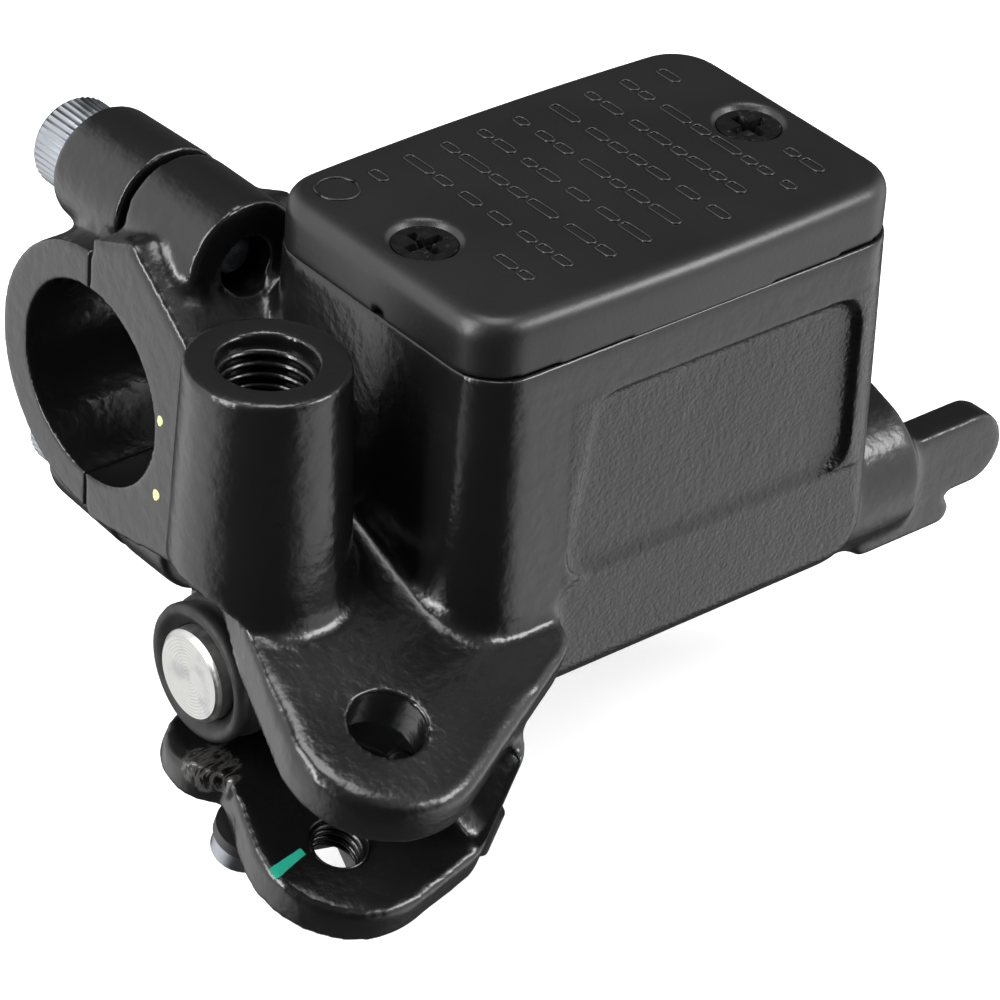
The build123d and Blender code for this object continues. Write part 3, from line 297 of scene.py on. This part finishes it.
def black_plastic():
    mat, tree, shader, place = material("black_plastic", (0.009, 0.009, 0.0095), 0.38, specular=0.4)
    bump(tree, shader, noise(tree, place, 1800, 3), 0.00003)
    gloss = remap(tree, noise(tree, place, 300, 3), 0.3, 0.7, 0.32, 0.48)
    tree.links.new(gloss, shader.inputs["Roughness"])
    return mat


def brass():
    mat, tree, shader, place = material("brass", (0.72, 0.60, 0.32), 0.3, metallic=1.0)
    tone = mixed_color(tree, noise(tree, place, 300, 4), (0.66, 0.53, 0.26), (0.78, 0.68, 0.42))
    tree.links.new(tone, shader.inputs["Base Color"])
    bump(tree, shader, noise(tree, place, 1800, 2), 0.000008)
    return mat


def clear_glass():
    mat, tree, shader, place = material("clear_glass", (0.93, 0.96, 0.95), 0.06)
    shader.inputs["Transmission Weight"].default_value = 0.9
    tree.links.new(remap(tree, noise(tree, place, 200, 3), 0.3, 0.7, 0.04, 0.1), shader.inputs["Roughness"])
    bump(tree, shader, noise(tree, place, 60, 1), 0.00002)
    return mat


def marking_paint(name, color):
    mat, tree, shader, place = material(name, color, 0.45)
    darker = tuple(part * 0.6 for part in color)
    tone = mixed_color(tree, noise(tree, place, 1500, 4), darker, color)
    tree.links.new(tone, shader.inputs["Base Color"])
    bump(tree, shader, noise(tree, place, 1800, 2), 0.00003)
    return mat


MATERIALS = {
    "casting_paint": casting_paint(),
    "lid_plastic": lid_paint(),
    "zinc_steel": zinc_steel(),
    "black_steel": black_steel(),
    "machined_aluminium": piston_metal(),
    "rubber": rubber(),
    "spring_steel": spring_steel(),
    "white_plastic": pale_plastic(),
    "black_plastic": black_plastic(),
    "brass": brass(),
    "clear_glass": clear_glass(),
}
for part in frame["record"]["subparts"]:
    node = frame["nodes"][part["node"]]
    for index in range(len(node.material_slots)):
        node.material_slots[index].material = MATERIALS[part["material_slot"]]


# ---- pieces ----
def add_mesh(name, verts, faces, slot, body, mat=None):
    """A new piece in the row frame; verts are in millimetres."""
    mesh = bpy.data.meshes.new(name)
    mesh.from_pydata([tuple(Vector(point) * MM) for point in verts], [], faces)
    mesh.validate()
    mesh.update()
    obj = bpy.data.objects.new(name, mesh)
    bpy.context.scene.collection.objects.link(obj)
    mesh.materials.append(mat or MATERIALS[slot])
    mesh.polygons.foreach_set("use_smooth", [True] * len(mesh.polygons))
    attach(obj, body)
    return obj


def axes_for(axis):
    """Two directions square to axis and to each other."""
    axis = Vector(axis).normalized()
    side = axis.cross(Vector((1, 0, 0)) if abs(axis.x) < 0.9 else Vector((0, 1, 0))).normalized()
    return axis, side, axis.cross(side)


def turned(name, origin, axis, rings, count, slot, body):
    """A closed turned piece. Each ring is (place along axis, radius or a radius for each angle)."""
    axis, side, other = axes_for(axis)
    origin = Vector(origin)
    verts, faces = [], []
    for along, radius in rings:
        for step in range(count):
            angle = 2 * pi * step / count
            reach = radius(angle) if callable(radius) else radius
            verts.append(origin + axis * along + (side * cos(angle) + other * sin(angle)) * reach)
    for row in range(len(rings) - 1):
        for step in range(count):
            after = (step + 1) % count
            a, b = row * count, (row + 1) * count
            faces.append((a + step, a + after, b + after, b + step))
    faces.append(tuple(reversed(range(count))))
    faces.append(tuple(range((len(rings) - 1) * count, len(rings) * count)))
    return add_mesh(name, verts, faces, slot, body)


def thread(name, origin, axis, radius, depth, pitch, length, slot, body):
    """The ridge of an internal thread: a helical bar on the hole's wall, closed at both ends."""
    axis, side, other = axes_for(axis)
    origin = Vector(origin)
    steps = 48
    profile = ((0.06, -0.46), (-depth, -0.08), (-depth, 0.08), (0.06, 0.46))
    total = int(steps * length / pitch)
    verts, faces = [], []
    for step in range(total + 1):
        angle = 2 * pi * step / steps
        lift = pitch * step / steps
        fade = min(1, step / (steps / 2), (total - step) / (steps / 2))
        out = side * cos(angle) + other * sin(angle)
        for reach, rise in profile:
            inward = reach if reach > 0 else reach * fade
            verts.append(origin + axis * (lift + rise * pitch) + out * (radius + inward))
    for step in range(total):
        for corner in range(4):
            after = (corner + 1) % 4
            a, b = step * 4, (step + 1) * 4
            faces.append((a + corner, a + after, b + after, b + corner))
    faces.append((3, 2, 1, 0))
    faces.append(tuple(total * 4 + corner for corner in range(4)))
    add_mesh(name, verts, faces, slot, body)


def remeshed(nodes, name, voxel):
    """The meshes of CAD nodes copied as one and rebuilt from even small faces, in the row frame."""
    joined = bmesh.new()
    for node in nodes:
        source = frame["nodes"][node]
        placed = source.data.copy()
        placed.transform(source.matrix_world)
        joined.from_mesh(placed)
        bpy.data.meshes.remove(placed)
    mesh = bpy.data.meshes.new(name)
    joined.to_mesh(mesh)
    joined.free()
    copy = bpy.data.objects.new(name, mesh)
    bpy.context.scene.collection.objects.link(copy)
    change = copy.modifiers.new("even", "REMESH")
    change.mode = "VOXEL"
    change.voxel_size = voxel * MM
    bpy.context.view_layer.update()
    mesh = bpy.data.meshes.new_from_object(copy.evaluated_get(bpy.context.evaluated_depsgraph_get()))
    copy.modifiers.clear()
    copy.data = mesh
    return copy


def soften(obj, weight, plain, fill, convex=None):
    """Rounds a mesh by its weights: plain rounds first, then rounds that mostly fill hollow corners."""
    mesh = obj.data
    count = len(mesh.vertices)
    co = np.empty(count * 3)
    mesh.vertices.foreach_get("co", co)
    co = co.reshape(-1, 3)
    pairs = np.empty(len(mesh.edges) * 2, dtype=np.int32)
    mesh.edges.foreach_get("vertices", pairs)
    a, b = pairs.reshape(-1, 2).T
    degree = np.bincount(a, minlength=count) + np.bincount(b, minlength=count)
    hold = weight(co / MM)[:, None]
    shrink = convex(co / MM) if convex else 0.0
    normal = np.empty(count * 3)
    for turn in range(plain + fill):
        total = np.stack(
            [np.bincount(a, co[b, k], count) + np.bincount(b, co[a, k], count) for k in range(3)], axis=1
        )
        step = total / degree[:, None] - co
        if turn >= plain:
            if (turn - plain) % 6 == 0:
                mesh.vertices.foreach_set("co", co.ravel())
                mesh.update()
                mesh.vertex_normals.foreach_get("vector", normal)
            outward = (step * normal.reshape(-1, 3)).sum(axis=1) > 0
            step *= np.where(outward, 1.0, shrink)[:, None]
        co += 0.5 * hold * step
    mesh.vertices.foreach_set("co", co.ravel())
    mesh.update()


def radial(p, origin, axis):
    """How far each point is from an axis, and how far along it."""
    axis = np.array(Vector(axis).normalized())
    away = p - np.array(origin)
    along = away @ axis
    return np.linalg.norm(away - along[:, None] * axis, axis=1), along


def ramp(value, low, high):
    """0 at low, 1 at high, straight between and level beyond."""
    return np.clip((value - low) / (high - low), 0, 1)


def casting_weight(p):
    """How much each point of the casting may be rounded: not at all in holes and under the lid."""
    weight = np.ones(len(p))
    pivot = tuple(lever_point(PIVOT_X, PIVOT_REACH, 0))
    # where each hole starts, its axis, its radius, and the stretch along the axis that is kept
    holes = (
        ((0, 0, 0), (1, 0, 0), BAR_R, -11, 11),
        ((0, BARREL_Y, BARREL_Z), (1, 0, 0), 9.4, -52, 17.8),
        (MIRROR, (0, 0, 1), MIRROR_THREAD_R, -24, 1),
        (pivot, LEVER_AXIS, PIVOT_R, 5, 14),
        (pivot, LEVER_AXIS, PIVOT_THREAD_R, -14, -5),
        ((0, 0, BOLT_OFFSET), (0, 1, 0), BOLT_HOLE_R, -1, 14),
        ((0, 0, -BOLT_OFFSET), (0, 1, 0), BOLT_HOLE_R, -1, 14),
        ((PORT_FACE_X, BARREL_Y, BARREL_Z), (1, 0, 0), PORT_R, -1, 14),
        ((GLASS[0], 10, GLASS[1]), (0, 1, 0), 7.4, -2, 12),
    )
    for origin, axis, radius, start, end in holes:
        away, along = radial(p, origin, axis)
        inside = (along > start) & (along < end)
        weight = np.where(inside, np.minimum(weight, ramp(away, radius + 0.25, radius + 0.9)), weight)
    x, y, z = p.T
    within = (abs(x - LID[0]) < 27) & (abs(y - LID[1]) < 17.5)
    weight = np.where(within & (z > 20.6), 0.0, weight)
    cavity = (abs(x - LID[0]) < 23.6) & (abs(y - LID[1]) < 14.4) & (z > -2.6)
    weight = np.where(cavity, 0.0, weight)
    # machined faces keep crisper edges
    away, _ = radial(p, (0, 0, 0), (1, 0, 0))
    ring = (abs(abs(x) - CLAMP_HALF) < 0.7) & (away < 17.5)
    weight = np.where(ring, np.minimum(weight, 0.35), weight)
    away, _ = radial(p, (0, BARREL_Y, BARREL_Z), (1, 0, 0))
    seat = (abs(x - BARREL_FACE_X) < 1.3) & (away < 13.8)
    weight = np.where(seat, np.minimum(weight, 0.06), weight)
    # so do the edges of the front wall's panel
    front = (y > LID[1] + 15.5) & (x < -3) & (x > -54) & (z > -16) & (z < 20)
    weight = np.where(front, np.minimum(weight, 0.3), weight)
    top = (z > MIRROR[2] - 0.8) & (x > 2)
    return np.where(top, np.minimum(weight, 0.35), weight)


def ear_rim(p):
    """The upper ear's rim goes on being rounded while hollow corners fill."""
    away = p - np.array((0, BARREL_Y, BARREL_Z))
    height = away @ np.array(LEVER_AXIS)
    reach = away @ np.array(LEVER_REACH)
    return 0.75 * ramp(reach, 10, 14) * ramp(height, 9.8, 10.6) * ramp(height, 14.5, 13.5)


def finish_casting(obj, nodes, body="casting"):
    obj.data.materials.clear()
    obj.data.materials.append(MATERIALS["casting_paint"])
    obj.data.polygons.foreach_set("use_smooth", [True] * len(obj.data.polygons))
    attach(obj, body)
    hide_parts(*nodes)


CASTING = ("master_cylinder_body", "hose_boss")
body = remeshed(CASTING, "casting_shell", 0.34)
soften(body, casting_weight, 14, 60, ear_rim)
finish_casting(body, CASTING)


def cap_weight(p):
    """How much each point of the clamp cap may be rounded."""
    weight = np.ones(len(p))
    away, _ = radial(p, (0, 0, 0), (1, 0, 0))
    weight = np.minimum(weight, ramp(away, 11.3, 12.0))
    weight = np.where(p[:, 1] > -0.9, np.minimum(weight, 0.1), weight)
    ring = (abs(abs(p[:, 0]) - CLAMP_HALF) < 0.7) & (away < 17)
    weight = np.where(ring, np.minimum(weight, 0.35), weight)
    for side in (BOLT_OFFSET, -BOLT_OFFSET):
        away, _ = radial(p, (0, 0, side), (0, 1, 0))
        weight = np.minimum(weight, ramp(away, 3.6, 4.4))
    return weight


cap = remeshed(("clamp_cap",), "cap_shell", 0.3)
soften(cap, cap_weight, 12, 40)
finish_casting(cap, ("clamp_cap",))

# ---- reservoir lid ----
lid = remeshed(("reservoir_lid",), "lid_shell", 0.3)


def lid_weight(p):
    """How much each point of the lid may be rounded: less low on the skirt and round the screws."""
    weight = np.where(p[:, 2] > LID[2] - 2.6, 1.0, 0.4)
    for side in (-SCREW_SPACING / 2, SCREW_SPACING / 2):
        away, _ = radial(p, (LID[0] + side, LID[1], 0), (0, 0, 1))
        weight = np.where(away < 4.6, np.minimum(weight, 0.15), weight)
    return weight


soften(lid, lid_weight, 8, 0)
lid.data.materials.clear()
lid.data.materials.append(MATERIALS["lid_plastic"])
lid.data.polygons.foreach_set("use_smooth", [True] * len(lid.data.polygons))
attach(lid, "casting")
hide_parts("reservoir_lid")


def outline_marks():
    """Raised outlines on the lid: rows of plain rounded bars that stand for nothing."""
    mark_height, stroke, sunk = 0.16, 0.2, 0.05
    section = ((stroke, -sunk), (stroke * 0.5, mark_height), (-stroke * 0.5, mark_height), (-stroke, -sunk))
    corners = len(section)
    verts, faces = [], []

    def outline(cx, cy, half_length, half_width, ends=7):
        """A raised closed line round a bar along Y."""
        line = []
        for end in (1, -1):
            for step in range(ends):
                angle = pi * step / (ends - 1)
                reach = half_length + half_width * sin(angle)
                line.append((cx + half_width * cos(angle) * end, cy + end * reach))
        start = len(verts)
        for x, y in line:
            dx, dy = x - cx, y - cy
            size = max(hypot(dx, dy), 1e-6)
            for out, up in section:
                verts.append((x + dx / size * out, y + dy / size * out, LID[2] + up))
        count = len(line)
        for step in range(count):
            here = start + step * corners
            there = start + (step + 1) % count * corners
            for corner in range(corners):
                nxt = (corner + 1) % corners
                faces.append((here + corner, here + nxt, there + nxt, there + corner))

    columns, pitch, shift = 9, 4.7, -1.6
    bar_half_width, cap = 0.575, 0.6
    for column in range(columns):
        cx = LID[0] + shift + (column - (columns - 1) / 2) * pitch
        near_screw = abs(abs(cx - LID[0]) - SCREW_SPACING / 2) < 4.9
        spans = ((-13.2, -6.2), (6.2, 13.2)) if near_screw else ((-13.6, 13.6),)
        for low, high in spans:
            y = low
            while y < high - 1.4:
                half = random.choice((0.35, 0.6, 0.9, 1.5))
                gap = random.choice((0.5, 0.5, 0.5, 1.5))
                length = 2 * (half + cap)
                if y + length > high:
                    break
                outline(cx, LID[1] + y + half + cap, half, bar_half_width)
                y += length + gap
    # plain ring near one corner
    outline(LID[0] + 22.2, LID[1] - 12.2, 0.0, 2.2, 13)
    return verts, faces


add_mesh("lid_marks", *outline_marks(), "lid_plastic", "casting")

# ---- threads in the mirror boss and the lower ear ----
mirror_thread_start = (MIRROR[0], MIRROR[1], MIRROR[2] - 21.2)
pivot_thread_start = lever_point(PIVOT_X, PIVOT_REACH, -11.3)
thread("mirror_thread_ridge", mirror_thread_start, (0, 0, 1), MIRROR_THREAD_R, 0.66, 1.25, 20.0,
       "casting_paint", "casting")
thread("pivot_thread_ridge", pivot_thread_start, LEVER_AXIS, PIVOT_THREAD_R, 0.52, 1.0, 4.2,
       "casting_paint", "casting")

# ---- clamp bolts: knurled heads, hex sockets and cut threads ----
HEAD_R, HEAD_H, SOCKET_AF, SOCKET_DEPTH = 5.0, 6.0, 5.0, 3.0
BOLT_R, BOLT_SEAT, BOLT_TIP, BOLT_PITCH = 3.0, -12.0, 10.0, 1.0
KNURLS = 44


def hexagon(angle):
    """Reach of the hex socket's wall at an angle."""
    turn = (angle + pi / 6) % (pi / 3) - pi / 6
    return SOCKET_AF / 2 / cos(turn)


def knurl(angle):
    """Reach of the knurled head at an angle."""
    return HEAD_R - 0.2 * abs(((angle * KNURLS / (2 * pi)) % 1) * 2 - 1)


def screw_radius(along):
    """The thread's reach at a place along the shank, as a function of the angle."""
    def radius(angle):
        phase = (along / BOLT_PITCH - angle / (2 * pi)) % 1
        return BOLT_R - 0.5 * abs(2 * phase - 1)
    return radius


bolt_pieces = []
for index, z in enumerate((BOLT_OFFSET, -BOLT_OFFSET)):
    top = BOLT_SEAT - HEAD_H
    rings = [(top + SOCKET_DEPTH, 0.05), (top + SOCKET_DEPTH, hexagon), (top + 0.3, hexagon),
             (top, lambda angle: hexagon(angle) + 0.3), (top, HEAD_R - 0.9), (top + 0.25, HEAD_R - 0.45),
             (top + 0.8, knurl), (BOLT_SEAT - 0.7, knurl), (BOLT_SEAT - 0.2, HEAD_R - 0.35),
             (BOLT_SEAT, HEAD_R - 0.5), (BOLT_SEAT, BOLT_R - 0.02), (BOLT_SEAT + 4, BOLT_R - 0.02)]
    steps = 40
    thread_start, thread_end = BOLT_SEAT + 4.3, BOLT_TIP - 0.8
    for step in range(steps + 1):
        along = thread_start + (thread_end - thread_start) * step / steps
        rings.append((along, screw_radius(along)))
    rings += [(BOLT_TIP - 0.5, BOLT_R - 0.6), (BOLT_TIP, BOLT_R - 1.0)]
    piece = turned(f"clamp_bolt_{index + 1}", (0, 0, z), (0, 1, 0), rings, 176, "zinc_steel", "casting")
    bolt_pieces.append(piece)
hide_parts("clamp_bolts")
for piece in bolt_pieces:
    edge_split = piece.modifiers.new("edges", "EDGE_SPLIT")
    edge_split.split_angle = radians(35)

# ---- dust boot: root ring in its pocket, a shallow waist and a rolled lip round the stem ----
# places along X and radii, round the whole section
BOOT_PROFILE = (
    (8.3, 5.6), (8.3, 8.4), (11.0, 8.4), (11.8, 8.2), (12.6, 7.8), (13.4, 7.5), (14.2, 7.45), (15.0, 7.5),
    (15.8, 7.5), (16.4, 7.4), (16.8, 7.15), (17.1, 7.02), (17.5, 7.08), (18.0, 7.28), (18.6, 7.32),
    (19.1, 7.1), (19.3, 6.7), (19.2, 6.3), (18.9, 5.95), (18.5, 5.5), (18.2, 5.1), (18.0, 4.93),
    (17.2, 4.92), (16.8, 5.2), (16.4, 5.9), (15.4, 6.3), (14.4, 5.9), (13.4, 5.4), (12.2, 5.6),
)


def boot():
    """A closed turned skin."""
    count = 96
    verts, faces = [], []
    for x, r in BOOT_PROFILE:
        for step in range(count):
            angle = 2 * pi * step / count
            verts.append((x, BARREL_Y + r * cos(angle), BARREL_Z + r * sin(angle)))
    rows = len(BOOT_PROFILE)
    for row in range(rows):
        for step in range(count):
            after = (step + 1) % count
            a, b = row * count, (row + 1) % rows * count
            faces.append((a + step, b + step, b + after, a + after))
    obj = add_mesh("boot_skin", verts, faces, "rubber", "casting")
    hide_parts("dust_boot")
    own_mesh(obj)


boot()

# ---- coil springs copied from their CAD nodes ----
for node, joint, axis, anchor, keep in (
    ("return_spring", "piston_slide", (1, 0, 0), (-0.050, 0, 0), 0.6),
    ("switch_spring", "switch_plunger_slide", tuple(LEVER_AXIS), None, 0.55),
):
    source = frame["nodes"][node]
    copy = bpy.data.objects.new(node + "_coil", source.data.copy())
    bpy.context.scene.collection.objects.link(copy)
    copy.matrix_world = source.matrix_world.copy()
    if anchor is None:
        low = [Vector(v.co) @ LEVER_AXIS for v in copy.data.vertices]
        anchor = tuple(copy.data.vertices[low.index(min(low))].co)
    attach(copy, "casting")
    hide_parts(node)
    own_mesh(copy)


# ---- paint dots on the clamp's end face ----
def paint_dot(name, centre, radius, color):
    """A low dab of marking paint, slightly out of round, facing +X."""
    verts, faces = [Vector(centre) + Vector((0.05, 0, 0))], []
    count = 28
    for ring, (share, lift) in enumerate(((0.8, 0.05), (1.0, -0.02))):
        for step in range(count):
            angle = 2 * pi * step / count
            wobble = 1 + 0.10 * sin(2 * angle + radius * 9) + 0.07 * sin(3 * angle + 1)
            reach = radius * share * wobble
            verts.append(Vector(centre) + Vector((lift, reach * cos(angle) * 0.8, reach * sin(angle))))
    for step in range(count):
        after = (step + 1) % count
        faces.append((0, 1 + step, 1 + after))
        faces.append((1 + step, 1 + count + step, 1 + count + after, 1 + after))
    faces.append(tuple(1 + count + step for step in reversed(range(count))))
    add_mesh(name, verts, faces, "casting_paint", "casting", marking_paint(name + "_paint", color))


paint_dot("paint_dot_upper", (10.0, 12.13, 2.01), 0.62, (0.72, 0.85, 0.30))
paint_dot("paint_dot_lower", (10.0, 11.83, -7.03), 0.72, (0.86, 0.80, 0.30))


def paint_band():
    """A band of green marking paint over the rim of the lower ear's upper face."""
    verts, faces = [], []
    across = 6
    along = 12
    for i in range(along + 1):
        t = i / along
        x = 21.6 - 4.6 * t
        reach = 19.9 - 1.0 * t
        half = 0.62 + 0.08 * sin(5 * t)
        for j in range(across + 1):
            s = j / across * 2 - 1
            lift = 0.03 if abs(s) < 0.99 and 0 < i < along else -0.03
            verts.append(lever_point(x, reach + s * half, -SLOT_HALF + lift))
    for i in range(along):
        for j in range(across):
            a = i * (across + 1) + j
            faces.append((a, a + 1, a + across + 2, a + across + 1))
    green = marking_paint("band_paint", (0.02, 0.45, 0.30))
    add_mesh("paint_band", verts, faces, "casting_paint", "casting", green)


paint_band()

# ---- floor, light and camera ----
lowest = cad_box[0][2]
bpy.ops.mesh.primitive_plane_add(size=4, location=(0, 0, lowest - 0.0004))
floor = bpy.context.object
floor.name = "floor"
floor_mat, _, floor_shader, _ = material("floor_paper", (0.82, 0.82, 0.82), 0.9, specular=0.1)
floor_shader.inputs["Emission Color"].default_value = (1, 1, 1, 1)
floor_shader.inputs["Emission Strength"].default_value = 0.45
floor.data.materials.append(floor_mat)
floor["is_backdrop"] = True
floor.visible_glossy = False


def studio_world():
    """Bright to both sides, dark behind the camera, faint above, and white where it is seen directly."""
    world = bpy.data.worlds.new("studio")
    bpy.context.scene.world = world
    world.use_nodes = True
    tree = world.node_tree
    background = tree.nodes["Background"]
    direction = tree.nodes.new("ShaderNodeTexCoord").outputs["Generated"]

    def along(axis):
        """How nearly a direction points along axis, from -1 to 1."""
        node = tree.nodes.new("ShaderNodeVectorMath")
        node.operation = "DOT_PRODUCT"
        node.inputs[1].default_value = axis
        tree.links.new(direction, node.inputs[0])
        return node.outputs["Value"]

    front = remap(tree, along((0.667, 0.745, 0)), 0.30, 0.72, 1.0, 0.05)
    sides = remap(tree, math_node(tree, "ABSOLUTE", along((-0.745, 0.667, 0))), 0.40, 0.82, 0.09, 1.6)
    above = remap(tree, along((0, 0, 1)), 0.35, 0.9, 0.0, 0.14)
    glow = math_node(tree, "MULTIPLY_ADD", front, sides, above)
    seen = tree.nodes.new("ShaderNodeLightPath").outputs["Is Camera Ray"]
    shown = tree.nodes.new("ShaderNodeMix")
    tree.links.new(seen, shown.inputs[0])
    tree.links.new(glow, shown.inputs[2])
    shown.inputs[3].default_value = 1.0
    tree.links.new(shown.outputs[0], background.inputs["Strength"])
    background.inputs["Color"].default_value = (1, 1, 1, 1)


studio_world()


def area_light(name, place, target, size, power):
    """A rectangular light at place, in metres, turned to face target."""
    data = bpy.data.lights.new(name, "AREA")
    data.shape = "RECTANGLE"
    data.size, data.size_y = size
    data.energy = power
    light = bpy.data.objects.new(name, data)
    bpy.context.scene.collection.objects.link(light)
    light.location = place
    light.rotation_euler = (Vector(target) - Vector(place)).to_track_quat("-Z", "Y").to_euler()


target = (-0.015, 0.03, 0.0)
area_light("key_left", (0.40, -0.05, 0.42), target, (0.20, 0.34), 2.2)
area_light("strip_left", (0.42, 0.02, 0.10), target, (0.05, 0.34), 1.6)
area_light("fill_right", (-0.36, 0.42, 0.40), target, (0.24, 0.26), 2.6)
area_light("top", (-0.04, 0.02, 0.60), target, (0.30, 0.30), 2.0)

# camera place in metres; BACK points from the part to the camera
CAMERA_PLACE = Vector((0.26366, 0.34724, 0.27290))
BACK = Vector((0.5560, 0.6214, 0.5519)).normalized()
ROLL = radians(4.32)
level = Vector((-BACK.y, BACK.x, 0)).normalized()
upright = BACK.cross(level)
right = level * cos(ROLL) + upright * sin(ROLL)
up = upright * cos(ROLL) - level * sin(ROLL)
camera_data = bpy.data.cameras.new("camera")
camera_data.lens = 180
camera_data.sensor_width = 36
camera = bpy.data.objects.new("camera", camera_data)
bpy.context.scene.collection.objects.link(camera)
camera.matrix_world = Matrix.Translation(CAMERA_PLACE) @ Matrix((right, up, BACK)).transposed().to_4x4()
bpy.context.scene.camera = camera
bpy.context.scene.view_settings.view_transform = "Standard"

low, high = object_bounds()
